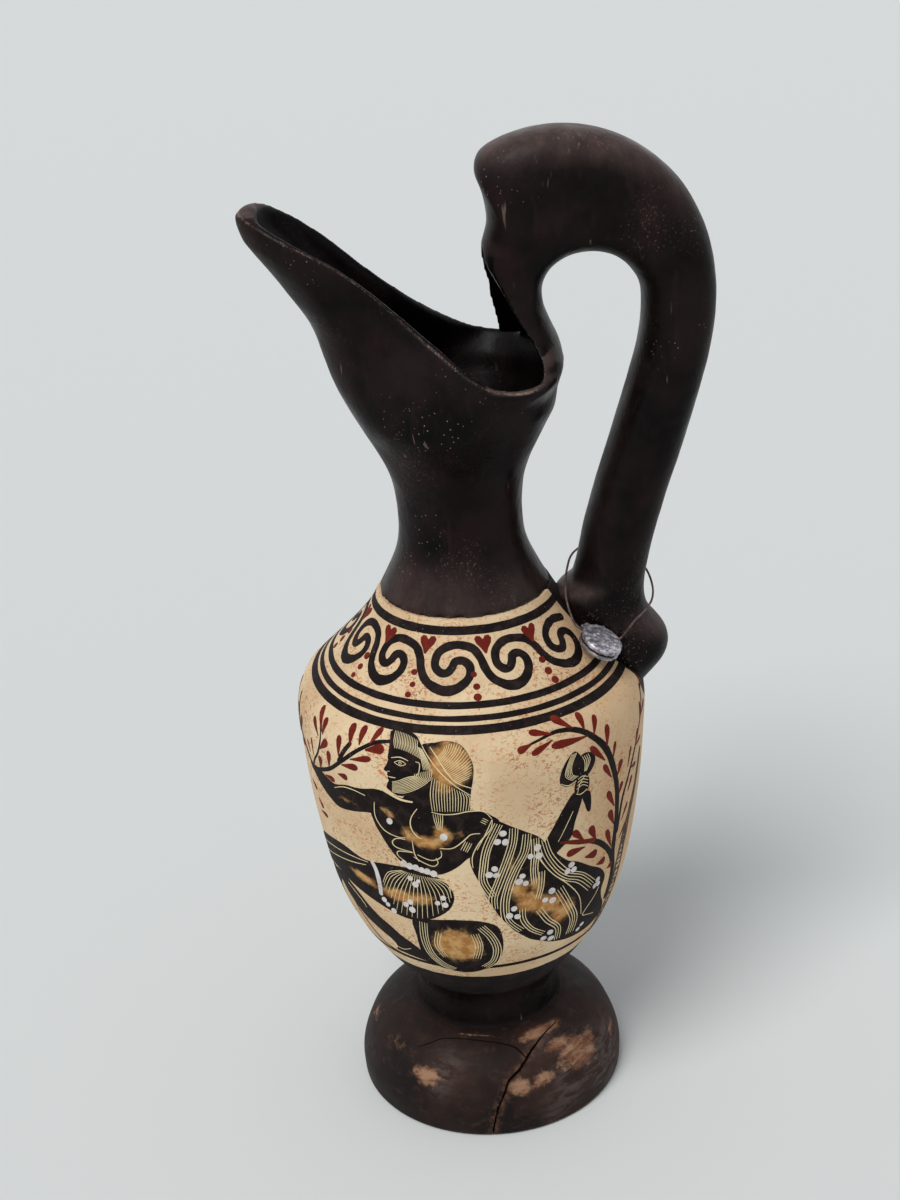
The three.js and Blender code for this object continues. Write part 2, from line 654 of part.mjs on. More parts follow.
const jug = new THREE.Group();
jug.add(
  mesh('foot', footSolid(), FOOT_SLIP, 0.6),
  mesh('stem', stemSolid(), BLACK_SLIP, 0.6),
  mesh('body', bodySolid(), CREAM_SLIP, 0.75),
  mesh('neck', neckSolid(), BLACK_SLIP, 0.55),
  mesh('mouth', mouthSolid(), BLACK_SLIP, 0.55),
  mesh('handle', handleSolid(), BLACK_SLIP, 0.45),
  mesh('handle_root', rootSolid(), BLACK_SLIP, 0.5),
);

const tag = new THREE.Group();
tag.add(
  mesh('tag_wire', wireSolid(), COPPER, 0.5, 0.4),
  mesh('seal_front', sealDisc(1), LEAD, 0.45, 0.8),
  mesh('seal_back', sealDisc(-1), LEAD, 0.5, 0.8),
);

// The origin is under the middle of the jug's whole length, so the axis of the thrown
// sections stands back from it, towards the spout.
const vase = new THREE.Group();
vase.add(jug, tag);
vase.position.x = (SPOUT_REACH - HANDLE_REACH) / 2;

export default vase;
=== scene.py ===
"""Painted terracotta jug on a pale table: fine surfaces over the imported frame, paint, light and camera."""

import logging
import math
from dataclasses import dataclass, field
from enum import Enum
from typing import Callable, Iterable, Sequence

import bmesh
import bpy
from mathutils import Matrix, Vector, geometry, kdtree, noise


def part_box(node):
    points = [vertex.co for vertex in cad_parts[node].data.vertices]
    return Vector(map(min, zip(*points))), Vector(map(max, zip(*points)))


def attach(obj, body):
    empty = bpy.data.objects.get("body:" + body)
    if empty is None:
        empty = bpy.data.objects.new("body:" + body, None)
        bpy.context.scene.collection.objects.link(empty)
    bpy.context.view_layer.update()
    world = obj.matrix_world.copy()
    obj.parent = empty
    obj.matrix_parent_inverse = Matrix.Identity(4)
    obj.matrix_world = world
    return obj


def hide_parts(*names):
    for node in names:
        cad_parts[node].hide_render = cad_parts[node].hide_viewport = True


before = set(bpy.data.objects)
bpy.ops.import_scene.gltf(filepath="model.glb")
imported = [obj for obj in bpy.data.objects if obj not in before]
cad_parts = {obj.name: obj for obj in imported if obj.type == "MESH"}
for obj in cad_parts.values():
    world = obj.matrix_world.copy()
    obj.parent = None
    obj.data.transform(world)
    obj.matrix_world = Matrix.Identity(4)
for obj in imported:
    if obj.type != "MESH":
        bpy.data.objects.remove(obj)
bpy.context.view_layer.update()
LOG = logging.getLogger("jug")
MM = 0.001

# The thrown sections turn about this upright line.
BODY_LOW, BODY_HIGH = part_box("body")
AXIS_X = (BODY_LOW[0] + BODY_HIGH[0]) / 2

Point2 = tuple[float, float]
Point3 = tuple[float, float, float]


class Slot(Enum):
    """Material slots of the record, which the turned sections carry."""

    BLACK = "black_slip"
    FOOT = "foot_slip"
    CREAM = "cream_slip"
    COPPER = "copper"
    LEAD = "lead"


class Rider(Enum):
    """Bodies that a piece can move with."""

    VESSEL = "vessel"
    TAG = "tag"


# Curves


def smooth_path(points: Sequence[Sequence[float]], steps: int) -> list[tuple[float, ...]]:
    """Runs an even Catmull-Rom curve through points.

    Args:
        points: The points, of any number of coordinates.
        steps: How many steps each span takes.

    Returns:
        The points of the curve, with both ends.
    """
    result: list[tuple[float, ...]] = []
    last = len(points) - 1
    for i in range(last):
        a, b = points[max(i - 1, 0)], points[i]
        c, d = points[i + 1], points[min(i + 2, last)]
        for k in range(steps):
            t = k / steps
            result.append(tuple(
                0.5 * ((2 * q) + (r - p) * t + (2 * p - 5 * q + 4 * r - s) * t * t
                       + (3 * q - p - 3 * r + s) * t * t * t)
                for p, q, r, s in zip(a, b, c, d)))
    result.append(tuple(float(v) for v in points[-1]))
    return result


def centripetal_at(points: Sequence[Vector], t: float, closed: bool = False) -> Vector:
    """Finds the point of a centripetal Catmull-Rom curve.

    Args:
        points: The points that the curve runs through.
        t: How far along, from 0 to 1.
        closed: Whether the curve joins its own start.

    Returns:
        The point.
    """
    count = len(points)
    place = (count if closed else count - 1) * t
    i = min(int(place), count - 1 if closed else count - 2)
    w = place - i
    p1, p2 = points[i % count], points[(i + 1) % count]
    p0 = points[(i - 1) % count] if closed or i > 0 else 2 * points[0] - points[1]
    p3 = points[(i + 2) % count] if closed or i + 2 < count else 2 * points[-1] - points[-2]
    d0, d1, d2 = (max((b - a).length ** 0.5, 1e-9) for a, b in ((p0, p1), (p1, p2), (p2, p3)))
    start = ((p1 - p0) / d0 - (p2 - p0) / (d0 + d1) + (p2 - p1) / d1) * d1
    end = ((p2 - p1) / d1 - (p3 - p1) / (d1 + d2) + (p3 - p2) / d2) * d1
    bend = -3 * p1 + 3 * p2 - 2 * start - end
    turn = 2 * p1 - 2 * p2 + start + end
    return p1 + start * w + bend * w * w + turn * w ** 3


# Meshes


def deselect() -> None:
    """Leaves object mode clean, with nothing selected."""
    if bpy.context.object and bpy.context.object.mode != "OBJECT":
        bpy.ops.object.mode_set(mode="OBJECT")
    bpy.ops.object.select_all(action="DESELECT")


def activate(piece: bpy.types.Object) -> None:
    """Selects one object alone and makes it the active one."""
    deselect()
    piece.select_set(True)
    bpy.context.view_layer.objects.active = piece


def settle(piece: bpy.types.Object) -> None:
    """Puts the piece's place into its mesh, so that its object stands at the origin."""
    activate(piece)
    bpy.ops.object.transform_apply(location=True, rotation=True, scale=True)


def shade(piece: bpy.types.Object, degrees: float = 40.0) -> None:
    """Shades smooth all edges that turn less than an angle."""
    activate(piece)
    bpy.ops.object.shade_smooth_by_angle(angle=math.radians(degrees))


def apply_modifier(piece: bpy.types.Object, kind: str, **settings: object) -> None:
    """Adds one modifier and applies it at once.

    Args:
        piece: The object to change.
        kind: The modifier's type.
        settings: Its settings by name.
    """
    activate(piece)
    modifier = piece.modifiers.new(kind.title(), kind)
    for key, value in settings.items():
        setattr(modifier, key, value)
    bpy.ops.object.modifier_apply(modifier=modifier.name)


def mesh_object(name: str, points: Iterable[Sequence[float]],
                faces: Iterable[Sequence[int]]) -> bpy.types.Object:
    """Makes an object from points in millimetres on the jug's axis.

    Args:
        name: The piece's name.
        points: Its points, x from the axis.
        faces: Its faces as point numbers.

    Returns:
        The new object, in the scene.
    """
    data = bpy.data.meshes.new(name)
    data.from_pydata([(AXIS_X + x * MM, y * MM, z * MM) for x, y, z in points], [], list(faces))
    piece = bpy.data.objects.new(name, data)
    bpy.context.scene.collection.objects.link(piece)
    return piece


def face_outwards(piece: bpy.types.Object, merge: float = 1e-6) -> None:
    """Merges doubled points and turns every face of a closed shell outwards."""
    activate(piece)
    bpy.ops.object.mode_set(mode="EDIT")
    bpy.ops.mesh.select_all(action="SELECT")
    bpy.ops.mesh.remove_doubles(threshold=merge)
    bpy.ops.mesh.normals_make_consistent(inside=False)
    bpy.ops.mesh.select_all(action="DESELECT")
    bpy.ops.object.mode_set(mode="OBJECT")


def loft(name: str, rings: Sequence[Sequence[Sequence[float]]], closed: bool) -> bpy.types.Object:
    """Joins rings of points into a closed shell.

    Args:
        name: The piece's name.
        rings: Rings of as many points each, in millimetres.
        closed: Whether the last ring joins the first; otherwise both ends are capped.

    Returns:
        The new object.
    """
    count = len(rings[0])
    points = [p for ring in rings for p in ring]
    faces: list[list[int]] = []
    spans = len(rings) if closed else len(rings) - 1
    for i in range(spans):
        low, high = i * count, ((i + 1) % len(rings)) * count
        for j in range(count):
            k = (j + 1) % count
            faces.append([low + j, low + k, high + k, high + j])
    if not closed:
        faces.append(list(range(count - 1, -1, -1)))
        top = (len(rings) - 1) * count
        faces.append(list(range(top, top + count)))
    piece = mesh_object(name, points, faces)
    face_outwards(piece)
    return piece


def cut(piece: bpy.types.Object, tool: bpy.types.Object, solver: str = "MANIFOLD") -> None:
    """Cuts a tool out of a piece and deletes the tool."""
    apply_modifier(piece, "BOOLEAN", operation="DIFFERENCE", solver=solver, object=tool)
    bpy.data.objects.remove(tool, do_unlink=True)


# Finishes


class Graph:
    """A material's node tree with short calls for the nodes that the finishes need."""

    def __init__(self, name: str) -> None:
        """Starts a material with one surface shader.

        Args:
            name: The material's name.
        """
        self.material = bpy.data.materials.new(name)
        self.material.use_nodes = True
        self.tree = self.material.node_tree
        self.shader = next(n for n in self.tree.nodes if n.type == "BSDF_PRINCIPLED")
        self.place = self.tree.nodes.new("ShaderNodeTexCoord").outputs["Object"]

    def join(self, source: bpy.types.NodeSocket, target: bpy.types.NodeSocket) -> None:
        """Links two sockets."""
        self.tree.links.new(source, target)

    def feed(self, target: bpy.types.NodeSocket, value: object) -> None:
        """Links a socket, or writes a plain value on it."""
        if isinstance(value, bpy.types.NodeSocket):
            self.join(value, target)
        else:
            target.default_value = value

    def stretched(self, scale: Point3, turn: Point3 = (0, 0, 0)) -> bpy.types.NodeSocket:
        """Gives the place on the piece, stretched and turned."""
        node = self.tree.nodes.new("ShaderNodeMapping")
        node.inputs["Scale"].default_value = scale
        node.inputs["Rotation"].default_value = turn
        self.join(self.place, node.inputs["Vector"])
        return node.outputs["Vector"]

    def noise(self, scale: float, detail: float = 3.0, rough: float = 0.5, warp: float = 0.0,
              at: bpy.types.NodeSocket | None = None) -> bpy.types.NodeSocket:
        """Gives soft noise from 0 to 1.

        Args:
            scale: Cells to the metre.
            detail: Octaves.
            rough: Weight of the fine octaves.
            warp: How far the noise distorts itself.
            at: Where to read it, or the place on the piece.

        Returns:
            The socket with the value.
        """
        node = self.tree.nodes.new("ShaderNodeTexNoise")
        node.inputs["Scale"].default_value = scale
        node.inputs["Detail"].default_value = detail
        node.inputs["Roughness"].default_value = rough
        node.inputs["Distortion"].default_value = warp
        self.join(at or self.place, node.inputs["Vector"])
        return node.outputs["Fac"]

    def cells(self, scale: float, at: bpy.types.NodeSocket | None = None) -> bpy.types.NodeSocket:
        """Gives the distance to the nearest of scattered points."""
        node = self.tree.nodes.new("ShaderNodeTexVoronoi")
        node.inputs["Scale"].default_value = scale
        self.join(at or self.place, node.inputs["Vector"])
        return node.outputs["Distance"]

    def sums(self, operation: str, a: object, b: object = 0.0) -> bpy.types.NodeSocket:
        """Works out one sum of two numbers."""
        node = self.tree.nodes.new("ShaderNodeMath")
        node.operation = operation
        self.feed(node.inputs[0], a)
        self.feed(node.inputs[1], b)
        return node.outputs[0]

    def step(self, value: object, low: float, high: float, to_low: float = 0.0,
             to_high: float = 1.0) -> bpy.types.NodeSocket:
        """Maps a stretch of values to another, smoothly and held at its ends."""
        node = self.tree.nodes.new("ShaderNodeMapRange")
        node.interpolation_type = "SMOOTHSTEP"
        self.feed(node.inputs["Value"], value)
        node.inputs["From Min"].default_value = low
        node.inputs["From Max"].default_value = high
        node.inputs["To Min"].default_value = to_low
        node.inputs["To Max"].default_value = to_high
        return node.outputs["Result"]

    def mix(self, share: object, a: object, b: object) -> bpy.types.NodeSocket:
        """Mixes two colours."""
        node = self.tree.nodes.new("ShaderNodeMix")
        node.data_type = "RGBA"
        self.feed(node.inputs["Factor"], share)
        colours = [s for s in node.inputs if s.type == "RGBA"]
        self.feed(colours[0], a)
        self.feed(colours[1], b)
        return next(s for s in node.outputs if s.type == "RGBA")

    def parts(self) -> tuple[bpy.types.NodeSocket, bpy.types.NodeSocket, bpy.types.NodeSocket]:
        """Gives the place on the piece as three numbers."""
        node = self.tree.nodes.new("ShaderNodeSeparateXYZ")
        self.join(self.place, node.inputs[0])
        return node.outputs[0], node.outputs[1], node.outputs[2]

    def attribute(self, name: str) -> bpy.types.NodeSocket:
        """Reads a number that the mesh carries."""
        node = self.tree.nodes.new("ShaderNodeAttribute")
        node.attribute_name = name
        return node.outputs["Fac"]

    def bump(self, height: bpy.types.NodeSocket, strength: float, distance: float) -> None:
        """Raises the surface by a height, over what is raised already."""
        node = self.tree.nodes.new("ShaderNodeBump")
        node.inputs["Strength"].default_value = strength
        node.inputs["Distance"].default_value = distance
        self.join(height, node.inputs["Height"])
        before = self.shader.inputs["Normal"].links
        if before:
            self.join(before[0].from_socket, node.inputs["Normal"])
        self.join(node.outputs["Normal"], self.shader.inputs["Normal"])

    def colour(self, value: object) -> None:
        """Sets the shader's base colour."""
        self.feed(self.shader.inputs["Base Color"], value)

    def roughness(self, value: object) -> None:
        """Sets the shader's roughness."""
        self.feed(self.shader.inputs["Roughness"], value)


def srgb(red: int, green: int, blue: int) -> tuple[float, float, float, float]:
    """Turns a colour as painters' charts give it into linear light."""
    def linear(value: int) -> float:
        """Turns one channel into linear light."""
        v = value / 255
        return v / 12.92 if v <= 0.04045 else ((v + 0.055) / 1.055) ** 2.4
    return (linear(red), linear(green), linear(blue), 1.0)


@dataclass(frozen=True)
class BlackSlip:
    """Dark slip on the mouth, neck, stem and handle, brushed on and worn at its edges, with a painted highlight on
    up-facing surfaces and painted shade inside the mouth.
    """

    name: str = "black_slip_paint"
    dark: tuple[int, int, int] = (10, 7, 7)
    light: tuple[int, int, int] = (29, 20, 20)
    chip: tuple[int, int, int] = (160, 138, 124)
    gloss: float = 0.34

    def material(self) -> bpy.types.Material:
        """Builds the node tree.

        Returns:
            The material.
        """
        g = Graph(self.name)
        g.shader.inputs["Specular IOR Level"].default_value = 0.07
        broad = g.noise(45, 4, 0.6)
        streak = g.noise(160, 5, 0.65, at=g.stretched((1, 1, 0.3)))
        base = g.mix(g.step(broad, 0.35, 0.68), srgb(*self.dark), srgb(*self.light))
        base = g.mix(g.step(streak, 0.52, 0.76, 0, 0.5), base, srgb(44, 31, 30))
        wine = g.step(g.noise(24, 3, 0.5, at=g.stretched((1, 1, 0.6))), 0.5, 0.68, 0, 0.5)
        base = g.mix(wine, base, srgb(41, 21, 22))
        cluster = g.step(g.noise(34, 3), 0.53, 0.66)
        specks = g.sums("MULTIPLY", g.step(g.cells(560), 0.17, 0.07), cluster)
        base = g.mix(g.sums("MULTIPLY", specks, 0.75), base, srgb(*self.chip))
        scuff = g.sums("MULTIPLY", g.step(g.noise(1100, 2, 0.7), 0.6, 0.68), g.step(g.noise(30, 3), 0.5, 0.66))
        base = g.mix(g.sums("MULTIPLY", scuff, 0.5), base, srgb(112, 88, 80))
        hair = g.step(g.noise(420, 2, 0.5, 0.3, g.stretched((1, 1, 0.12), (0.3, 0.5, 0))), 0.66, 0.7)
        hair = g.sums("MULTIPLY", hair, g.step(g.noise(50, 2), 0.58, 0.66))
        base = g.mix(g.sums("MULTIPLY", hair, 0.6), base, srgb(120, 98, 88))
        worn = g.sums("MULTIPLY", g.step(g.attribute("wear"), 0.45, 0.85),
                      g.step(g.noise(300, 4, 0.7), 0.36, 0.6))
        # painted highlight: up-facing slip, such as the crest's top and the neck's flank, is mixed towards a light
        # brown-grey, streaked by noise
        painted_sheen = g.sums("MULTIPLY", g.step(g.attribute("painted_light"), 0.1, 0.95), g.step(streak, 0.3, 0.7, 0.35, 0.8))
        base = g.mix(painted_sheen, base, srgb(98, 82, 78))
        # painted shade: inside the mouth the slip is mixed towards near black
        base = g.mix(g.step(g.attribute("painted_light"), -0.2, -0.8, 0, 0.8), base, srgb(4, 2, 2))
        base = g.mix(g.sums("MULTIPLY", worn, 0.72), base, srgb(168, 142, 129))
        g.colour(base)
        g.roughness(g.step(broad, 0.3, 0.7, self.gloss - 0.08, self.gloss + 0.14))
        g.bump(g.noise(520, 4, 0.6), 0.35, 0.0004)
        g.bump(g.noise(70, 3, 0.5), 0.4, 0.0014)
        return g.material


@dataclass(frozen=True)
class CreamSlip:
    """Cream ground of the body, flecked with orange, with black above the stem and at the root, and painted shade
    that darkens the side towards the handle.
    """

    name: str = "cream_slip_paint"
    cream: tuple[int, int, int] = (234, 210, 172)
    fleck: tuple[int, int, int] = (198, 112, 54)
    low_edge: float = 68.2

    def material(self) -> bpy.types.Material:
        """Builds the node tree.

        Returns:
            The material.
        """
        g = Graph(self.name)
        g.shader.inputs["Specular IOR Level"].default_value = 0.15
        cloud = g.noise(28, 4, 0.55)
        base = g.mix(g.step(cloud, 0.35, 0.7), srgb(*self.cream), srgb(214, 184, 146))
        patch = g.step(g.noise(42, 4, 0.6, 0.4), 0.37, 0.6)
        spread = g.noise(760, 2, 0.6, 0.8, g.stretched((1, 1, 1.4)))
        fleck = g.sums("MULTIPLY", g.step(spread, 0.54, 0.6), patch)
        rust = g.mix(g.step(g.noise(210, 2), 0.4, 0.6), srgb(*self.fleck), srgb(158, 94, 58))
        base = g.mix(g.sums("MULTIPLY", fleck, 0.8), base, rust)
        drops = g.step(g.noise(360, 3, 0.65, 1.0), 0.6, 0.67)
        drops = g.sums("MULTIPLY", drops, g.step(g.noise(34, 3), 0.44, 0.6))
        base = g.mix(g.sums("MULTIPLY", drops, 0.8), base, srgb(200, 104, 44))
        dirt = g.sums("MULTIPLY", g.step(g.cells(560), 0.17, 0.08), g.step(g.noise(120, 2), 0.46, 0.58))
        base = g.mix(g.sums("MULTIPLY", dirt, 0.6), base, srgb(140, 96, 66))
        x, y, z = g.parts()
        wobble = g.sums("MULTIPLY", g.sums("SUBTRACT", g.noise(90, 3), 0.5), 0.0016)
        height = g.sums("ADD", z, wobble)
        under = g.step(height, (self.low_edge + 0.12) * MM, (self.low_edge - 0.12) * MM)
        out = g.sums("SUBTRACT", x, AXIS_X)
        # painted shade: the cream is mixed towards a darker, warmer tone on the handle side, away from the light
        base = g.mix(g.step(out, 0.018, 0.05, 0, 0.5), base, srgb(200, 158, 116))
        side = g.sums("ABSOLUTE", g.sums("ADD", y, wobble))
        half = g.step(out, 0.030, 0.052, 0.0118, 0.0182)
        beside = g.step(g.sums("SUBTRACT", half, side), -0.0001, 0.0001)
        curve = g.sums("MULTIPLY", g.sums("POWER", g.sums("MULTIPLY", side, 55.0), 4.0), 0.009)
        above = g.step(g.sums("SUBTRACT", height, curve), 0.1605, 0.1608)
        behind = g.step(out, 0.01, 0.0102)
        root = g.sums("MULTIPLY", g.sums("MULTIPLY", beside, above), behind)
        black = g.sums("MAXIMUM", under, root)
        shade_of_black = g.mix(g.step(g.noise(120, 4), 0.4, 0.7), srgb(20, 14, 14), srgb(38, 28, 27))
        g.colour(g.mix(black, base, shade_of_black))
        g.roughness(g.step(cloud, 0.3, 0.7, 0.62, 0.78))
        g.bump(g.noise(500, 4, 0.6), 0.22, 0.0003)
        g.bump(g.noise(60, 3, 0.5), 0.3, 0.001)
        return g.material


@dataclass(frozen=True)
class FootSlip:
    """Brown slip of the foot, rubbed through to the clay in patches and along the cracks, with a painted highlight
    line in clay colour along its top edge.
    """

    name: str = "foot_slip_paint"

    def material(self) -> bpy.types.Material:
        """Builds the node tree.

        Returns:
            The material.
        """
        g = Graph(self.name)
        broad = g.noise(26, 5, 0.6, 0.3)
        fine = g.noise(140, 5, 0.65, at=g.stretched((1, 1, 1.8)))
        g.shader.inputs["Specular IOR Level"].default_value = 0.1
        base = g.mix(g.step(broad, 0.36, 0.64), srgb(24, 18, 17), srgb(54, 38, 33))
        base = g.mix(g.step(fine, 0.52, 0.74, 0, 0.5), base, srgb(74, 54, 48))
        streaks = g.noise(110, 5, 0.7, 0.5, g.stretched((1, 1, 3.2), (0.2, 0.1, 0)))
        grey = g.sums("MULTIPLY", g.step(g.noise(22, 2), 0.48, 0.66), g.step(streaks, 0.4, 0.62))
        base = g.mix(g.sums("MULTIPLY", grey, 0.42), base, srgb(112, 104, 102))
        # the rubbed places, and a painted highlight line along the top edge, show the clay colour
        bare_and_highlit = g.sums("ADD", g.attribute("rub_and_highlight"),
                      g.sums("MULTIPLY", g.sums("SUBTRACT", g.noise(260, 5, 0.75), 0.5), 1.3))
        clay = g.mix(g.step(streaks, 0.36, 0.62), srgb(106, 66, 49), srgb(162, 126, 100))
        base = g.mix(g.step(bare_and_highlit, 0.3, 0.72, 0, 0.92), base, clay)
        worn = g.sums("MULTIPLY", g.attribute("wear"), g.step(g.noise(380, 4, 0.7), 0.4, 0.62))
        base = g.mix(g.sums("MULTIPLY", worn, 0.6), base, srgb(126, 88, 68))
        g.colour(base)
        g.roughness(g.step(broad, 0.3, 0.7, 0.5, 0.7))
        g.bump(g.noise(600, 4, 0.6), 0.25, 0.0003)
        g.bump(g.noise(60, 4, 0.55), 0.5, 0.0014)
        return g.material


@dataclass(frozen=True)
class Pigment:
    """One paint of the decoration, a little uneven from the brush."""

    name: str
    lift: float
    colour: tuple[int, int, int]
    thin: tuple[int, int, int]
    chips: float = 0.0
    glazed: bool = False
    rough: float = 0.6

    def material(self) -> bpy.types.Material:
        """Builds the node tree.

        Returns:
            The material.
        """
        g = Graph(self.name)
        g.shader.inputs["Specular IOR Level"].default_value = 0.06
        wash = g.noise(240, 4, 0.6, 0.5)
        base = g.mix(g.step(wash, 0.42, 0.72), srgb(*self.colour), srgb(*self.thin))
        if self.glazed:
            warm = g.mix(g.step(g.noise(300, 4, 0.65), 0.36, 0.66), srgb(176, 122, 66), srgb(214, 170, 112))
            warm = g.mix(g.step(g.noise(130, 2), 0.55, 0.75, 0, 0.7), warm, srgb(178, 92, 42))
            edge = g.sums("ADD", g.attribute("glaze"),
                          g.sums("MULTIPLY", g.sums("SUBTRACT", g.noise(420, 4, 0.7), 0.5), 0.9))
            base = g.mix(g.step(edge, 0.28, 0.85, 0, 0.95), base, warm)
        if self.chips:
            chip = g.sums("MULTIPLY", g.step(g.cells(620), 0.12, 0.06), g.step(g.noise(100, 2), 0.52, 0.62))
            base = g.mix(g.sums("MULTIPLY", chip, self.chips), base, srgb(202, 186, 172))
        g.colour(base)
        g.roughness(g.step(wash, 0.3, 0.7, self.rough - 0.1, self.rough + 0.1))
        g.bump(g.noise(900, 3, 0.6), 0.2, 0.0002)
        return g.material


@dataclass(frozen=True)
class DullMetal:
    """Lead of the seal or copper of the wire, rubbed bright, turning brown where the seal's points are marked as
    near the gap between its halves.
    """

    name: str
    colour: tuple[int, int, int]
    bright: tuple[int, int, int]
    metallic: float
    rough: float

    def material(self) -> bpy.types.Material:
        """Builds the node tree.

        Returns:
            The material.
        """
        g = Graph(self.name)
        g.shader.inputs["Metallic"].default_value = self.metallic
        cloud = g.noise(400, 4, 0.6)
        base = g.mix(g.step(cloud, 0.4, 0.65), srgb(*self.colour), srgb(*self.bright))
        toward_gap = g.sums("ADD", g.attribute("toward_gap"), g.sums("MULTIPLY", g.sums("SUBTRACT", cloud, 0.5), 0.5))
        g.colour(g.mix(g.step(toward_gap, 0.35, 0.7, 0, 0.9), base, srgb(92, 66, 44)))
        g.roughness(g.step(cloud, 0.35, 0.65, self.rough + 0.12, self.rough - 0.06))
        g.bump(g.noise(1200, 4, 0.6), 0.3, 0.0003)
        return g.material


def dress(piece: bpy.types.Object, material: bpy.types.Material) -> None:
    """Gives a piece one material."""
    piece.data.materials.clear()
    piece.data.materials.append(material)


def place_piece(piece: bpy.types.Object, rider: Rider, nodes: Sequence[str] = ()) -> None:
    """Lets a piece move with its body and stand for its CAD nodes.

    Args:
        piece: The finished piece.
        rider: The body that it moves with.
        nodes: The CAD nodes that it stands for.
    """
    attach(piece, rider.value)
    if nodes:
        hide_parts(*nodes)
    LOG.info("%s: %d faces", piece.name, len(piece.data.polygons))


def wear_near(piece: bpy.types.Object, edges: Sequence[Vector], reach: float) -> None:
    """Stores on each point how close it is to a worn edge, as the attribute wear.

    Args:
        piece: The piece to mark.
        edges: Points along its worn edges, in metres.
        reach: How far the wear goes, in metres.
    """
    tree = kdtree.KDTree(max(len(edges), 1))
    for i, p in enumerate(edges):
        tree.insert(p, i)
    tree.balance()
    layer = piece.data.attributes.new("wear", "FLOAT", "POINT")
    values = []
    for vertex in piece.data.vertices:
        distance = tree.find(vertex.co)[2] if edges else None
        values.append(0.0 if distance is None else max(0.0, 1.0 - distance / reach))
    layer.data.foreach_set("value", values)


def mark_painted_light(piece: bpy.types.Object, low: float, rim: float, high: float) -> None:
    """Stores on each point, as a point attribute, how far it faces up, for a painted highlight on up-facing slip;
    inside the mouth it is -1, for painted shade there.

    Args:
        piece: The piece to mark.
        low: Height of the mouth's base in metres.
        rim: Height up to which the mouth is hollow at its back.
        high: Height of the beak's tip.
    """
    values = []
    for vertex, normal in zip(piece.data.vertices, piece.data.vertex_normals):
        x, y, z = vertex.co.x - AXIS_X, vertex.co.y, vertex.co.z
        facing = -(normal.vector.x * x + normal.vector.y * y) / max(math.hypot(x, y), 1e-6)
        mouth = low < z < (rim if x > 0 else high)
        # inside the mouth: -1, which the slip paints as shade
        if mouth and x < 33 * MM and facing > 0.12:
            values.append(-1.0)
        elif mouth and (x < 8 * MM or math.hypot(x, y) < 37 * MM):
            values.append(0.0)
        else:
            values.append(max(normal.vector.z, 0.0))
    layer = piece.data.attributes.new("painted_light", "FLOAT", "POINT")
    layer.data.foreach_set("value", values)


# Thrown sections


def along_outline(skin: Sequence[Point2], v: float) -> Point3:
    """Finds a height on an outline that rises all the way.

    Args:
        skin: Radius and height of each point of the outline, from low to high.
        v: The height.

    Returns:
        The radius there, and how far the outline goes out and up in one step along it.
    """
    for (r0, z0), (r1, z1) in zip(skin, skin[1:]):
        if v <= z1:
            break
    share = min(max((v - z0) / (z1 - z0), 0.0), 1.0)
    length = math.hypot(r1 - r0, z1 - z0)
    return r0 + share * (r1 - r0), (r1 - r0) / length, (z1 - z0) / length


@dataclass
class Turned:
    """A section thrown on the wheel: a closed outline spun about the axis."""

    name: str
    slot: Slot
    steps: int = 160

    def outline(self) -> list[Point2]:
        """Gives the closed outline as radius and height in millimetres."""
        raise NotImplementedError

    def build(self) -> bpy.types.Object:
        """Draws the outline point by point from one vertex and spins it.

        Returns:
            The section as one closed shell.
        """
        outline = self.outline()
        deselect()
        bpy.ops.mesh.primitive_plane_add(
            size=MM, location=(AXIS_X + outline[0][0] * MM, 0, outline[0][1] * MM))
        piece = bpy.context.object
        piece.name = self.name
        piece.data.name = self.name
        bpy.ops.object.transform_apply(location=True, rotation=True, scale=True)
        bpy.ops.object.mode_set(mode="EDIT")
        bpy.ops.mesh.select_all(action="SELECT")
        bpy.ops.mesh.merge(type="CENTER")
        for (r0, z0), (r1, z1) in zip(outline, outline[1:]):
            bpy.ops.mesh.extrude_region_move(
                TRANSFORM_OT_translate={"value": ((r1 - r0) * MM, 0, (z1 - z0) * MM)})
        bpy.ops.mesh.select_all(action="SELECT")
        bpy.ops.mesh.spin(steps=self.steps, angle=2 * math.pi,
                          center=(AXIS_X, 0, 0), axis=(0, 0, 1))
        bpy.ops.object.mode_set(mode="OBJECT")
        face_outwards(piece, 2e-6)
        shade(piece, 45)
        return piece


@dataclass
class Foot(Turned):
    """Bell foot with a flat resting ring."""

    name: str = "foot_clay"
    slot: Slot = Slot.FOOT
    height: float = 33.0
    rim: float = 51.4
    shoulder: float = 45.5
    top: float = 30.6
    wall: float = 7.0
    edge: float = 1.8
    bore: float = 22.6
    steps: int = 240

    def skin(self) -> list[Point2]:
        """Gives the outside from the resting ring up to the stem."""
        flare, crown = self.rim - self.shoulder, self.shoulder - self.top
        return [(p[0], p[1]) for p in smooth_path([
            (self.rim, self.edge), (self.rim + 0.02 * flare, 0.28 * self.height),
            (self.rim - 0.32 * flare, 0.5 * self.height), (self.shoulder, 0.74 * self.height),
            (self.shoulder - 0.46 * crown, 0.91 * self.height), (self.top, self.height)], 8)]

    def outline(self) -> list[Point2]:
        """Gives the closed outline as radius and height in millimetres."""
        flare = self.rim - self.shoulder
        inner = self.rim - self.wall
        outside = self.skin()
        inside = smooth_path([
            (self.bore, 0.9 * self.height),
            ((self.shoulder - self.wall + self.bore) / 2, 0.74 * self.height),
            (inner - 1.17 * flare, 0.58 * self.height), (inner - 0.1 * flare, 0.3 * self.height),
            (inner, 0.0)], 5)
        rounding = [(self.rim - self.edge * (1 - math.sin(a)), self.edge * (1 - math.cos(a)))
                    for a in (0.0, 0.4, 0.8, 1.2)]
        return [*rounding, *outside, (self.bore, self.height), *inside, rounding[0]]


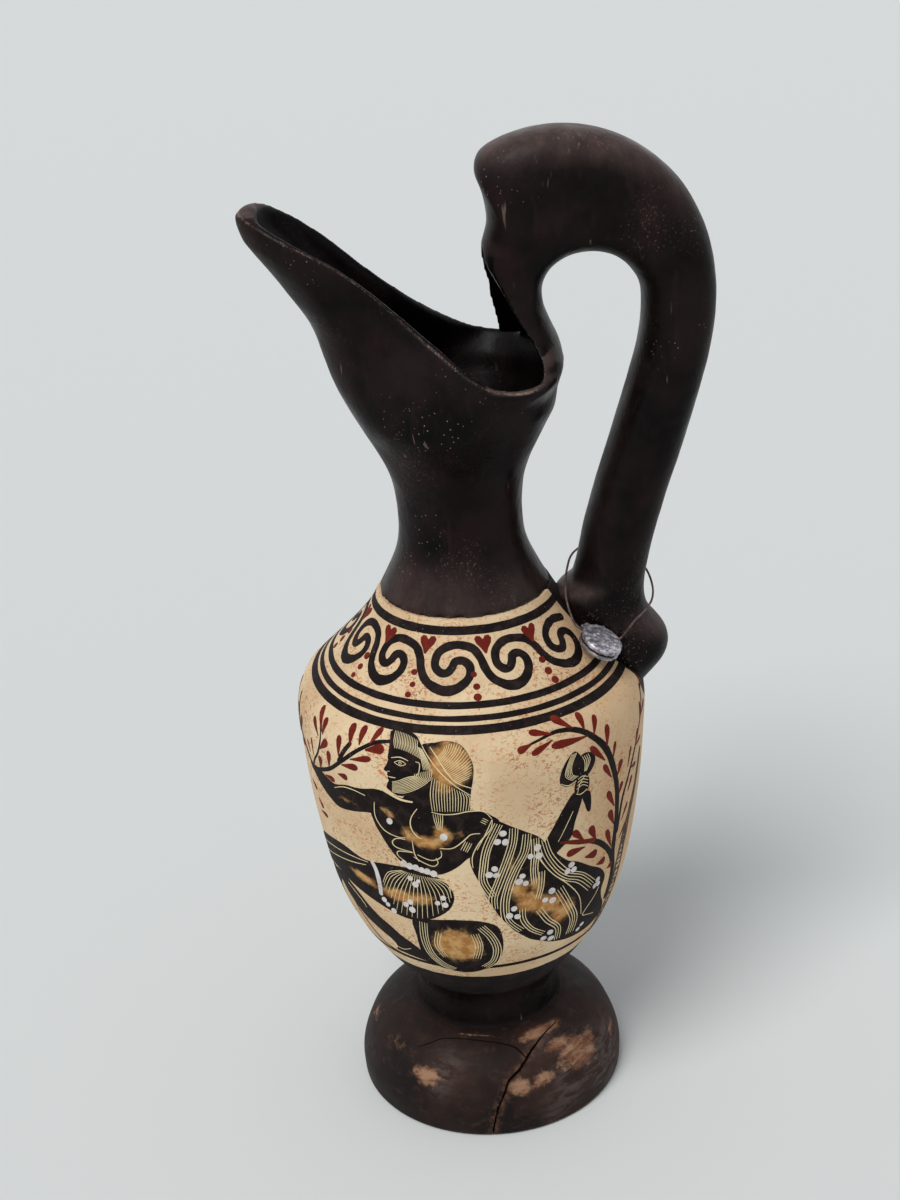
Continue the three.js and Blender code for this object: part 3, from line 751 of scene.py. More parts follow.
# Cracks of the foot: degrees round the axis, height and opening of each point
MAIN_CRACK = (
    (-48, 31.5, 0.3), (-57, 31.2, 0.5), (-66.8, 30.1, 0.7), (-75, 27.9, 1.2), (-80.3, 25.3, 1.5),
    (-86.9, 22, 1.2), (-90.4, 16.6, 0.9), (-93, 12.2, 0.8), (-94.5, 6.9, 0.7), (-96, 0.6, 0.6),
    (-96.2, -1.2, 0.6),
)
SIDE_CRACK = (
    (-137, 28, 0.2), (-130.6, 30.1, 0.4), (-125.1, 31.3, 0.45), (-111.4, 31.9, 0.45),
    (-97.1, 31.7, 0.5), (-86.7, 31.1, 0.7), (-80.3, 30, 0.8), (-76.4, 27.6, 0.9),
)
# Rubbed places of the foot, and one painted highlight line along its top edge: degrees, height, reach along and
# up, strength
RUBBED_AND_HIGHLIT = (
    (-126.5, 21.3, 6.0, 3.8, 1.0), (-82.0, 19.4, 5.0, 3.6, 0.9), (-70.5, 20.3, 5.5, 3.0, 0.8),
    (-47.5, 23.0, 11.0, 6.4, 0.95), (-56.0, 27.6, 7.0, 3.4, 0.8), (-62.0, 31.6, 10.0, 2.6, 1.0),
    # the first entry of this row is a painted highlight, a thin light line along the foot's top edge
    (-105.0, 32.6, 22.0, 0.7, 0.6), (-150.0, 26.0, 8.0, 4.0, 0.45), (-20.0, 18.0, 9.0, 5.0, 0.5),
    (20.0, 24.0, 8.0, 4.0, 0.7), (62.0, 14.0, 10.0, 4.0, 0.6), (105.0, 22.0, 7.0, 5.0, 0.8),
    (150.0, 18.0, 9.0, 4.0, 0.6), (178.0, 25.0, 8.0, 4.0, 0.5),
)


@dataclass
class WornFoot:
    """The foot with its open cracks, the places rubbed down to the clay and a painted highlight line along its top
    edge.
    """

    foot: Foot = field(default_factory=Foot)

    def on_skin(self, degrees: float, z: float) -> tuple[Vector, Vector, Vector]:
        """Finds a place on the outside, its normal and the direction round the axis."""
        radius, out, up = along_outline(self.foot.skin(), max(z, 0.5))
        angle = math.radians(degrees)
        away = Vector((math.cos(angle), math.sin(angle), 0))
        normal = away * up + Vector((0, 0, -out))
        return away * radius + Vector((0, 0, z)), normal, Vector((-away.y, away.x, 0))

    def crack(self, path: Sequence[Point3], depth: float) -> bpy.types.Object:
        """Builds the wedge that opens one crack.

        Args:
            path: Degrees, height and opening of each point.
            depth: How deep the crack goes in millimetres.

        Returns:
            The wedge.
        """
        fine = smooth_path(path, 5)
        rings = []
        for i, (degrees, z, opening) in enumerate(fine):
            jag = 0.22 * noise.noise(Vector((i * 0.9, opening, depth)))
            place, normal, _ = self.on_skin(degrees, z)
            before, _, _ = self.on_skin(*fine[max(i - 1, 0)][:2])
            after, _, _ = self.on_skin(*fine[min(i + 1, len(fine) - 1)][:2])
            side = (after - before).cross(normal).normalized()
            place = place + side * jag
            rings.append([place + side * (opening / 2 + 0.1) + normal,
                          place - side * (opening / 2 + 0.1) + normal,
                          place - side * 0.12 - normal * depth,
                          place + side * 0.12 - normal * depth])
        return loft("crack", rings, False)

    def build(self) -> bpy.types.Object:
        """Turns the foot, cracks it, and marks its worn places and a painted highlight line.

        Returns:
            The foot.
        """
        piece = self.foot.build()
        cut(piece, self.crack(MAIN_CRACK, 3.4), "EXACT")
        cut(piece, self.crack(SIDE_CRACK, 1.6), "EXACT")
        edges = []
        for degrees, z, _ in smooth_path(MAIN_CRACK, 8):
            place = self.on_skin(degrees, z)[0]
            edges.append(Vector((AXIS_X + place.x * MM, place.y * MM, place.z * MM)))
        wear_near(piece, edges, 3.0 * MM)
        spots = []
        for degrees, z, along, tall, strength in RUBBED_AND_HIGHLIT:
            spots.append((math.radians(degrees), *self.on_skin(degrees, z)[0].xyz, along, tall, strength))
        values = []
        for vertex in piece.data.vertices:
            place = Vector(((vertex.co.x - AXIS_X) / MM, vertex.co.y / MM, vertex.co.z / MM))
            rub_and_highlight = 0.0
            for angle, x, y, z, along, tall, strength in spots:
                gap = place - Vector((x, y, z))
                across = gap.y * math.cos(angle) - gap.x * math.sin(angle)
                rest = math.sqrt(max(gap.length_squared - across * across, 0.0))
                rub_and_highlight = max(rub_and_highlight, strength * math.exp(-0.9 * ((across / along) ** 2 + (rest / tall) ** 2)))
            values.append(rub_and_highlight)
        piece.data.attributes.new("rub_and_highlight", "FLOAT", "POINT").data.foreach_set("value", values)
        shade(piece, 45)
        return piece


@dataclass
class Stem(Turned):
    """Short waisted stem."""

    name: str = "stem_clay"
    slot: Slot = Slot.BLACK
    base_z: float = 33.0
    height: float = 17.0
    base: float = 28.5
    waist: float = 27.6
    top: float = 29.6
    wall: float = 8.0

    def outline(self) -> list[Point2]:
        """Gives the closed outline as radius and height in millimetres."""
        z, h = self.base_z, self.height
        outside = smooth_path([
            (self.base, z), (0.35 * self.base + 0.65 * self.waist, z + 0.07 * h),
            (0.08 * self.base + 0.92 * self.waist, z + 0.2 * h),
            (self.waist, z + 0.5 * h), (0.2 * self.top + 0.8 * self.waist, z + 0.76 * h),
            (self.top, z + h)], 5)
        inside = [(r - self.wall, height) for r, height in reversed(outside)]
        return [*outside, *inside, outside[0]]


BELLY = ((0.186, 0.066), (0.398, 0.154), (0.616, 0.273), (0.791, 0.433), (0.924, 0.675), (0.983, 0.874))
SHOULDER = ((0.067, 0.195), (0.22, 0.315), (0.415, 0.457), (0.686, 0.664), (0.875, 0.839))


@dataclass
class Body(Turned):
    """Egg-shaped body with its rounded shoulder."""

    name: str = "body_clay"
    slot: Slot = Slot.CREAM
    steps: int = 192
    base_z: float = 50.0
    height: float = 159.0
    foot: float = 29.6
    girth: float = 64.0
    girth_height: float = 115.5
    neck: float = 31.2
    wall: float = 6.0
    floor: float = 7.0

    def skin(self, steps: int = 8) -> list[Point2]:
        """Gives the outside of the wall from the stem up to the neck.

        Args:
            steps: Steps in each span between two of the potter's measures.

        Returns:
            Radius and height of each point in millimetres.
        """
        z, rise = self.base_z, self.height - self.girth_height
        low = [(self.foot + a * (self.girth - self.foot), z + b * self.girth_height) for a, b in BELLY]
        girth_z = z + self.girth_height
        high = [(self.girth - a * (self.girth - self.neck), girth_z + b * rise) for a, b in SHOULDER]
        points = [(self.foot, z), *low, (self.girth, girth_z), *high, (self.neck, z + self.height)]
        return [(p[0], p[1]) for p in smooth_path(points, steps)]

    def outline(self) -> list[Point2]:
        """Gives the closed outline as radius and height in millimetres."""
        skin = self.skin()
        inside = []
        for before, p, after in zip(skin[::4], skin[2::4], skin[4::4]):
            along = Vector((after[0] - before[0], after[1] - before[1])).normalized()
            inside.append((p[0] - along.y * self.wall, p[1] + along.x * self.wall))
        top = self.base_z + self.height
        inside = [p for p in inside if self.base_z + 1.5 * self.floor < p[1] < top - 2]
        floor = [(self.foot - self.wall, self.base_z + 1.2 * self.floor),
                 (0.0, self.base_z + self.floor)]
        return [(0.0, self.base_z), *skin, (self.neck - 5, top), *reversed(inside), *floor]


@dataclass
class Neck(Turned):
    """Neck that narrows up to the mouth."""

    name: str = "neck_clay"
    slot: Slot = Slot.BLACK
    base_z: float = 209.0
    height: float = 31.0
    base: float = 31.2
    waist: float = 22.4
    wall: float = 5.0

    def outline(self) -> list[Point2]:
        """Gives the closed outline as radius and height in millimetres."""
        shares = ((0.409, 0.22), (0.784, 0.465), (0.966, 0.71))
        points = [(self.base, self.base_z)]
        points += [(self.base - a * (self.base - self.waist), self.base_z + b * self.height)
                   for a, b in shares]
        points.append((self.waist, self.base_z + self.height))
        outside = smooth_path(points, 7)
        inside = [(r - self.wall, z) for r, z in reversed(outside)]
        return [*outside, *inside, outside[0]]


# Mouth and handle

RIM_HALF = (
    (180, -1, 0, 0, 1), (175, -0.962, 0.378, 0, 0.993), (169, -0.87, 0.714, 0, 0.955),
    (161, -0.725, 0.957, 0, 0.862), (153, -0.58, 1, 0, 0.752), (145, -0.435, 1, 0, 0.603),
    (137, -0.304, 1, 0.084, 0.457), (127, -0.188, 1, 0.302, 0.324), (116, -0.08, 1, 0.581, 0.214),
    (104, 0.038, 1, 0.837, 0.121), (90, 0.244, 1, 1, 0.041), (74, 0.474, 0.975, 1, 0.005),
    (57, 0.679, 0.863, 1, 0), (40, 0.846, 0.65, 1, 0.017), (20, 0.954, 0.338, 1, 0.038),
    (0, 1, 0, 1, 0.045),
)
CUP = ((0, 0), (0.051, 0.18), (0.199, 0.35), (0.455, 0.53), (0.739, 0.72))
# The wall from the cup to the rim: shares of the way up and of the way along
WALL = (
    (0, 0), (0.135, 0.143), (0.278, 0.232), (0.388, 0.292), (0.482, 0.366), (0.597, 0.515),
    (0.738, 0.717), (0.886, 0.946), (1, 1),
)


@dataclass
class Mouth:
    """Cup with its rim cut aslant and drawn out to a beak."""

    base_z: float = 240.0
    height: float = 50.0
    neck: float = 22.4
    half_width: float = 40.0
    back: float = 39.0
    reach: float = 69.0
    rise: float = 58.0
    beak: float = 18.5
    wall: float = 5.0
    lip: float = 4.0
    tip_lip: float = 4.6
    lean: float = 2.4
    sides: int = 132

    @property
    def rim_z(self) -> float:
        """Height of the rim's lowest stretch in millimetres."""
        return self.base_z + self.height

    def rim(self) -> tuple[list[Vector], list[Vector]]:
        """Gives the rim's places and the bearings on the cup from which its wall rises."""
        half = []
        for bearing, along, beside, widening, rise in RIM_HALF:
            x = along * (self.reach if along < 0 else self.back)
            y = beside * (self.beak + widening * (self.half_width - self.beak))
            half.append((math.radians(bearing), x, y, self.rim_z + rise * self.rise))
        whole = half + [(-b, x, -y, z) for b, x, y, z in reversed(half[1:-1])]
        lean = self.lean / self.beak
        whole = [(b, x, y, z + lean * y * min(max((-x - 30) / 30, 0), 1)) for b, x, y, z in whole]
        places = [Vector((x, y, z)) for _, x, y, z in whole]
        bearings = [Vector((math.cos(b), math.sin(b), 0)) for b, _, _, _ in whole]
        return places, bearings

    def outer(self) -> list[list[Vector]]:
        """Gives the outside of the wall as rings from the neck up to the rim."""
        places, bearings = self.rim()
        cup = smooth_path([(self.neck + a * (self.half_width - self.neck), b * self.height)
                           for a, b in CUP], 4)
        wall = smooth_path(WALL, 2)[1:]
        rings: list[list[Vector]] = [[] for _ in range(len(cup) + len(wall))]
        for j in range(self.sides):
            share = j / self.sides
            rim = centripetal_at(places, share, True)
            out = centripetal_at(bearings, share, True).normalized()
            for i, (r, z) in enumerate(cup):
                rings[i].append(Vector((out.x * r, out.y * r, self.base_z + z)))
            start = rings[len(cup) - 1][-1]
            for i, (up, along) in enumerate(wall):
                place = start.lerp(rim, along)
                place.z = start.z + (rim.z - start.z) * up
                rings[len(cup) + i].append(place)
        return rings

    @staticmethod
    def offset(rings: list[list[Vector]], distance: Callable[[int, int], float]) -> list[list[Vector]]:
        """Moves rings along the surface's own normal.

        Args:
            rings: The rings, from low to high.
            distance: How far each point of each ring moves, outwards where it is positive.

        Returns:
            The moved rings.
        """
        moved = []
        for i, ring in enumerate(rings):
            low, high = rings[max(i - 1, 0)], rings[min(i + 1, len(rings) - 1)]
            count = len(ring)
            moved.append([])
            for j, p in enumerate(ring):
                across = ring[(j + 1) % count] - ring[(j - 1) % count]
                normal = (high[j] - low[j]).cross(across).normalized()
                moved[-1].append(p + normal * distance(i, j))
        return moved

    def walls(self) -> tuple[list[list[Vector]], list[list[Vector]]]:
        """Gives the outside and the inside of the wall."""
        outer = self.outer()
        top = len(outer) - 1

        def thickness(i: int, j: int) -> float:
            """Gives the wall's thickness inwards: the beak's tip has a broad lip."""
            tip = math.exp(-(min(j, self.sides - j) / 6) ** 2) * max(2 * i / top - 1, 0) ** 3
            return -(self.wall + (self.lip - self.wall) * i / top + self.tip_lip * tip)

        return outer, self.offset(outer, thickness)

    def build(self) -> bpy.types.Object:
        """Builds the wall with its rounded lip as one closed shell."""
        outer, inner = self.walls()
        base = [Vector((p.x, p.y, self.base_z)) for p in inner[0]]
        lip = []
        for share in (0.12, 0.3, 0.5, 0.7, 0.88):
            ring = []
            for j, p in enumerate(outer[-1]):
                up = (p - outer[-2][j]).normalized()
                height = 0.5 * self.lip * math.sin(math.pi * share)
                ring.append(p.lerp(inner[-1][j], share) + up * height)
            lip.append(ring)
        return loft("mouth_clay", [*outer, *lip, *reversed(inner[1:]), base], True)

    def hollow(self) -> bpy.types.Object:
        """Builds the space inside the cup, level with the rim, to cut the handle by."""
        inner = self.walls()[1]
        raised = [Vector((p.x, p.y, p.z + 3)) for p in inner[-1]]
        apex = Vector((0.4 * self.back, 0, self.rim_z + 3.5))
        lid = [p.lerp(apex, 0.97) for p in raised]
        return loft("hollow", [*inner, raised, lid], False)


LIMB = (
    (0.421, -1, 0.719, -1, 1.035, 2.1), (0.446, -0.909, 0.726, -0.957, 1.007, 2.1),
    (0.479, -0.756, 0.748, -0.835, 0.986, 2.2), (0.53, -0.555, 0.8, -0.64, 0.979, 2.2),
    (0.594, -0.341, 0.864, -0.427, 0.986, 2.2), (0.655, -0.134, 0.925, -0.207, 1, 2.3),
    (0.7, 0.044, 0.975, 0, 1.014, 2.3), (0.718, 0.188, 1, 0.194, 1.028, 2.3),
    (0.714, 0.3, 0.992, 0.394, 1.049, 2.4), (0.684, 0.368, 0.949, 0.582, 1.07, 2.4),
    (0.638, 0.426, 0.865, 0.751, 1.092, 2.5), (0.581, 0.459, 0.74, 0.886, 1.106, 2.6),
)
CREST = (
    (1.231, 0.469, 1.41, 0.969, 1.127, 2.6), (1.103, 0.463, 1.064, 1, 1.127, 2.7),
    (0.995, 0.443, 0.756, 0.994, 1.127, 2.7), (0.913, 0.411, 0.487, 0.96, 1.085, 2.6),
    (0.862, 0.375, 0.323, 0.909, 1.014, 2.5), (0.836, 0.34, 0.279, 0.834, 0.972, 2.4),
    (0.828, 0.308, 0.341, 0.732, 0.944, 2.4), (0.833, 0.275, 0.367, 0.62, 0.93, 2.4),
    (0.846, 0.243, 0.305, 0.513, 0.97, 2.4), (0.872, 0.208, 0.297, 0.408, 1.06, 2.4),
    (0.908, 0.166, 0.333, 0.307, 1.19, 2.3), (0.949, 0.12, 0.39, 0.207, 1.4, 2.2),
    (0.979, 0.068, 0.451, 0.113, 1.8, 2.1), (0.979, 0.008, 0.48, 0.019, 2.2, 2),
    (0.93, -0.049, 0.49, -0.049, 2.4, 2), (0.86, -0.13, 0.52, -0.13, 2.3, 2),
)
CHANNEL = (
    (-0.049, 0.795, 0.68), (0.013, 0.821, 0.68), (0.088, 0.777, 0.59), (0.175, 0.69, 0.45),
    (0.275, 0.6, 0.34), (0.375, 0.5, 0.26), (0.463, 0.41, 0.19), (0.526, 0.31, 0.11),
)
# How far back the channel's near edge stands, from the rim up
NEAR_EDGE = (
    (-0.03, 0.55), (-0.008, 0.656), (0.05, 0.715), (0.1, 0.705), (0.148, 0.669), (0.188, 0.623),
    (0.238, 0.559), (0.307, 0.492), (0.38, 0.415), (0.458, 0.333), (0.53, 0.23),
)
ROOT = (
    (1.08, 0.566, 0.664, 0.278), (0.989, 0.544, 0.703, 0.556), (0.897, 0.511, 0.731, 0.778),
    (0.805, 0.49, 0.768, 0.9), (0.713, 0.468, 0.797, 0.967), (0.621, 0.435, 0.807, 1),
    (0.529, 0.413, 0.798, 1), (0.437, 0.392, 0.768, 0.978), (0.345, 0.37, 0.734, 0.933),
    (0.253, 0.354, 0.718, 0.9), (0.161, 0.348, 0.713, 0.872), (0.092, 0.37, 0.715, 0.844),
    (0.023, 0.421, 0.719, 0.817),
)


@dataclass
class Handle:
    """High bow with a broad crest and the channel up its front, on a wad of clay."""

    mouth: Mouth
    base_z: float = 208.0
    neck_z: float = 209.0
    shoulder: float = 43.5
    reach: float = 91.9
    rise: float = 79.9
    half: float = 14.2
    root_half: float = 18.0
    steps: int = 150
    sides: int = 48

    def height_of(self, lift: float) -> float:
        """Turns a lift into a height: -1 the handle's foot, 0 the rim, 1 the crest's top."""
        span = self.mouth.rim_z - self.base_z if lift < 0 else self.rise
        return self.mouth.rim_z + lift * span

    def ring(self, back: Vector, front: Vector, half: float, square: float, sides: int,
             boxy: float = 0.0) -> list[Vector]:
        """Draws a flat ring between two points.

        Args:
            back: The point on one side.
            front: Its partner on the other.
            half: Half the ring's width across.
            square: Over 2 it is squarer than an ellipse.
            sides: How many points it has.
            boxy: How much squarer its front half is.

        Returns:
            The ring's points.
        """
        centre, reach = (back + front) / 2, (front - back) / 2
        points = []
        for j in range(sides):
            angle = 2 * math.pi * j / sides
            power = 2 / (square + boxy * (math.cos(angle) > 0))
            cos, sin = (math.copysign(abs(v) ** power, v) for v in (math.cos(angle), math.sin(angle)))
            points.append(centre + reach * cos + Vector((0, half * sin, 0)))
        return points

    def bow(self) -> bpy.types.Object:
        """Sweeps the bow from the shoulder over the crest to the cup."""
        gap, out, sizes = [], [], []
        stations = [(s, self.reach) for s in LIMB] + [(s, self.mouth.back) for s in CREST]
        for i, ((gx, gz, ox, oz, half, square), reach) in enumerate(stations):
            gap.append(Vector((gx * reach, 0, self.height_of(gz))))
            out.append(Vector((ox * reach, 0, self.height_of(oz))))
            sizes.append(Vector((half * self.half, square, i)))
        rings = []
        for i in range(self.steps + 1):
            t = i / self.steps
            size = centripetal_at(sizes, t)
            boxy = 5 * min(max((t - 0.8) / 0.1, 0.0), 1.0)
            ring = self.ring(
                centripetal_at(gap, t), centripetal_at(out, t), size.x, size.y, self.sides, boxy)
            rings.append([self.on_cup(p) for p in ring] if boxy else ring)
        return loft("bow", rings, False)

    def on_cup(self, p: Vector) -> Vector:
        """Keeps a point of the bow's base from standing out beside the cup."""
        over = p.z - self.mouth.rim_z - 2
        limit = self.mouth.half_width - 0.2 + over * (0.29 if over < 0 else 0.3)
        if p.xy.length <= limit or p.x >= limit:
            return p
        return Vector((p.x, math.copysign(math.sqrt(limit ** 2 - p.x ** 2), p.y), p.z))

    def channel(self) -> bpy.types.Object:
        """Builds the hollow that runs from the cup up the front of the bow."""
        rows = smooth_path(CHANNEL, 5)
        rings = []
        for lift, back, half in rows:
            z = self.height_of(lift)
            front = Vector((-self.mouth.half_width / 2, 0, z))
            rings.append(self.ring(front, Vector((back * self.mouth.back, 0, z)),
                                   half * self.mouth.half_width, 3.0, 48))
        return loft("channel", rings, False)

    def near_edge(self) -> bpy.types.Object:
        """Builds the space before the channel's near wall, which stands back further."""
        rings = []
        for lift, back in smooth_path(NEAR_EDGE, 4):
            z = self.height_of(lift)
            rings.append(self.ring(Vector((back * self.mouth.back, -25, z)), Vector((-20, -25, z)),
                                   22.0, 7.0, 48))
        return loft("near_edge", rings, False)

    def root(self) -> bpy.types.Object:
        """Builds the wad that carries the bow on the shoulder."""
        rings = []
        for drop, back, front, width in smooth_path(ROOT, 4):
            z = self.neck_z - drop * self.shoulder
            rings.append(self.ring(
                Vector((back * self.reach, 0, z)), Vector((front * self.reach, 0, z)),
                width * self.root_half, 2.1, self.sides))
        return loft("handle_root_clay", rings, False)


def sharp_places(piece: bpy.types.Object, degrees: float) -> list[Vector]:
    """Finds the middles of all edges that turn more than an angle."""
    work = bmesh.new()
    work.from_mesh(piece.data)
    limit = math.radians(degrees)
    places = [(e.verts[0].co + e.verts[1].co) / 2 for e in work.edges
              if len(e.link_faces) == 2 and e.calc_face_angle(0) > limit]
    work.free()
    return places


@dataclass
class UpperClay:
    """Neck, mouth, handle and root, luted and smoothed together by the potter."""

    mouth: Mouth = field(default_factory=Mouth)
    voxel: float = 1.0
    ridge_reach: float = 15.0

    def build(self) -> list[bpy.types.Object]:
        """Models the four and smooths their joints.

        Returns:
            The finished pieces.
        """
        handle = Handle(self.mouth)
        bow = handle.bow()
        cut(bow, self.mouth.hollow())
        cut(bow, handle.channel())
        cut(bow, handle.near_edge())
        edges = [p for p in sharp_places(bow, 42) if p.z > (self.mouth.rim_z + 4) * MM]
        cup = self.mouth.build()
        outer, inner = self.mouth.walls()
        rim = [a.lerp(b, 0.16) for a, b in zip(outer[-1], inner[-1])]
        for a, b in zip(rim, rim[1:] + rim[:1]):
            for share in (0, 0.25, 0.5, 0.75):
                place = a.lerp(b, share)
                if place.x < 26:
                    edges.append(Vector((AXIS_X + place.x * MM, place.y * MM, (place.z + 1.0) * MM)))
        root = handle.root()
        neck = Neck(height=31.6).build()
        activate(cup)
        for part in (bow, root, neck):
            part.select_set(True)
        bpy.ops.object.join()
        cup.name = "upper_clay"
        apply_modifier(cup, "REMESH", mode="VOXEL", voxel_size=self.voxel * MM)
        apply_modifier(cup, "SMOOTH", factor=0.5, iterations=7)
        self.soften_ridge(cup)
        self.model_by_hand(cup)
        shade(cup, 180)
        wear_near(cup, edges, 1.5 * MM)
        rim_z = self.mouth.rim_z
        mark_painted_light(cup, self.mouth.base_z * MM, (rim_z + 40) * MM, (rim_z + self.mouth.rise) * MM)
        return [cup]

    def soften_ridge(self, piece: bpy.types.Object) -> None:
        """Rounds the ridge where the cup turns into the beak's wall, as wet fingers do."""
        ridge_z = self.mouth.base_z + CUP[-1][1] * self.mouth.height
        group = piece.vertex_groups.new(name="ridge")
        for vertex in piece.data.vertices:
            near = 1 - abs(vertex.co.z / MM - ridge_z) / self.ridge_reach
            front = (14 - (vertex.co.x - AXIS_X) / MM) / 10
            if near > 0 and front > 0:
                group.add([vertex.index], near * min(front, 1), "REPLACE")
        apply_modifier(piece, "SMOOTH", factor=0.5, iterations=60, vertex_group=group.name)
        piece.vertex_groups.clear()

    @staticmethod
    def model_by_hand(piece: bpy.types.Object) -> None:
        """Presses shallow dents into the clay, as fingers leave them."""
        mesh = piece.data
        normals = [Vector(n.vector) for n in mesh.vertex_normals]
        for vertex, normal in zip(mesh.vertices, normals):
            broad = noise.noise(vertex.co * 55)
            fine = noise.noise(vertex.co * 190 + Vector((4, 9, 2)))
            vertex.co = vertex.co - normal * (0.3 + 0.26 * broad + 0.07 * fine) * MM


@dataclass
class Seal:
    """Lead seal pressed in two halves round the wire, with a worn relief."""

    voxel: float = 0.28
    relief: float = 0.5
    squeeze: float = 0.45
    lug: Point3 = (4.2, 3.0, 1.5)

    def half(self, node: str, other: str, has_lug: bool) -> bpy.types.Object:
        """Presses one half out of its disc.

        Args:
            node: The CAD node of the disc.
            other: The node of the disc that faces it.
            has_lug: Whether a little lug stands out of its rim.

        Returns:
            The half.
        """
        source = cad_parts[node]
        mesh = source.data.copy()
        mesh.transform(source.matrix_world)
        piece = bpy.data.objects.new(node + "_pressed", mesh)
        bpy.context.scene.collection.objects.link(piece)
        face_outwards(piece)
        low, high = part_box(node)
        far_low, far_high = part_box(other)
        centre = (Vector(low) + Vector(high)) / 2
        partner = (Vector(far_low) + Vector(far_high)) / 2
        normal = (centre - partner).normalized()
        if has_lug:
            self.add_lug(piece, centre, normal)
        apply_modifier(piece, "REMESH", mode="VOXEL", voxel_size=self.voxel * MM)
        apply_modifier(piece, "SMOOTH", factor=0.5, iterations=4)
        toward_gap = []
        normals = [Vector(n.vector) for n in piece.data.vertex_normals]
        for vertex, facing in zip(piece.data.vertices, normals):
            gap = (vertex.co - partner).dot(normal) / MM
            # points within about 3 mm of the other half are marked, and the material turns them brown
            toward_gap.append(max(0.0, 1.0 - (gap - 1.6) / 1.5))
            spot = vertex.co / MM
            worn = 0.6 * noise.noise(spot * 0.7) + 0.4 * abs(noise.noise(spot * 1.5 + Vector((7, 1, 3))))
            vertex.co = vertex.co + (facing * self.relief * (worn - 0.3) - normal * self.squeeze) * MM
        piece.data.attributes.new("toward_gap", "FLOAT", "POINT").data.foreach_set("value", toward_gap)
        shade(piece, 180)
        return piece

    def add_lug(self, piece: bpy.types.Object, centre: Vector, normal: Vector) -> None:
        """Sets the lug on the rim, on the side away from the handle."""
        along = Vector((-0.72, 0.7, 0.0))
        along = (along - normal * along.dot(normal)).normalized()
        side = normal.cross(along)
        deselect()
        bpy.ops.mesh.primitive_cube_add(size=1, location=(0, 0, 0))
        block = bpy.context.object
        block.scale = [v * MM for v in self.lug]
        settle(block)
        turned = []
        for vertex in block.data.vertices:
            turned.append(centre + along * (7.6 * MM + vertex.co.y) + side * vertex.co.x + normal * vertex.co.z)
        for vertex, place in zip(block.data.vertices, turned):
            vertex.co = place
        face_outwards(block)
        activate(piece)
        block.select_set(True)
        bpy.ops.object.join()


# Painted decoration, drawn on the unrolled wall: u along the girth from the front, v up from the
# table, in millimetres


class Paint(Enum):
    """Paints, in the order in which they lie over each other."""

    WASH = "paint_wash"
    BLACK = "paint_black"
    RED = "paint_red"
    INCISED = "paint_incised"
    WHITE = "paint_white"


@dataclass
class UnrolledWall:
    """The body's outside laid flat, and the way back from it."""

    body: Body
    front: float = math.radians(-94)

    def __post_init__(self) -> None:
        """Keeps the wall's outline."""
        self.skin = self.body.skin()

    def at(self, v: float) -> tuple[float, float, float]:
        """Gives the radius and the outline's direction at a height.

        Args:
            v: The height in millimetres.

        Returns:
            The radius, and how far the outline goes out and up in one step along it.
        """
        return along_outline(self.skin, v)

    def scales(self, v: float) -> Point2:
        """Gives the real length of one millimetre along u and of one along v."""
        radius, _, up = self.at(v)
        return radius / self.body.girth, 1 / up

    def place(self, u: float, v: float, lift: float) -> Point3:
        """Finds the place on the jug.

        Args:
            u: Millimetres along the girth.
            v: The height.
            lift: How far off the wall.

        Returns:
            The place in millimetres from the axis.
        """
        radius, out, up = self.at(v)
        angle = self.front + u / self.body.girth
        radius += lift * up
        return radius * math.cos(angle), radius * math.sin(angle), v - lift * out


class Cover:
    """Tells whether a place lies under any of many shapes."""

    def __init__(self, shapes: Sequence[Sequence[Point2]], size: float = 2.0) -> None:
        """Sorts the shapes into squares.

        Args:
            shapes: The outlines.
            size: The side of a square.
        """
        self.size = size
        self.squares: dict[tuple[int, int], list[Sequence[Point2]]] = {}
        for shape in shapes:
            us, vs = [p[0] for p in shape], [p[1] for p in shape]
            for i in range(math.floor(min(us) / size), math.floor(max(us) / size) + 1):
                for j in range(math.floor(min(vs) / size), math.floor(max(vs) / size) + 1):
                    self.squares.setdefault((i, j), []).append(shape)

    def holds(self, u: float, v: float) -> bool:
        """Counts how often each outline near a place winds round it."""
        for shape in self.squares.get((math.floor(u / self.size), math.floor(v / self.size)), ()):
            turns = 0
            before = shape[-1]
            for after in shape:
                if (before[1] <= v) != (after[1] <= v):
                    share = (v - before[1]) / (after[1] - before[1])
                    if u < before[0] + share * (after[0] - before[0]):
                        turns += 1 if after[1] > before[1] else -1
                before = after
            if turns:
                return True
        return False


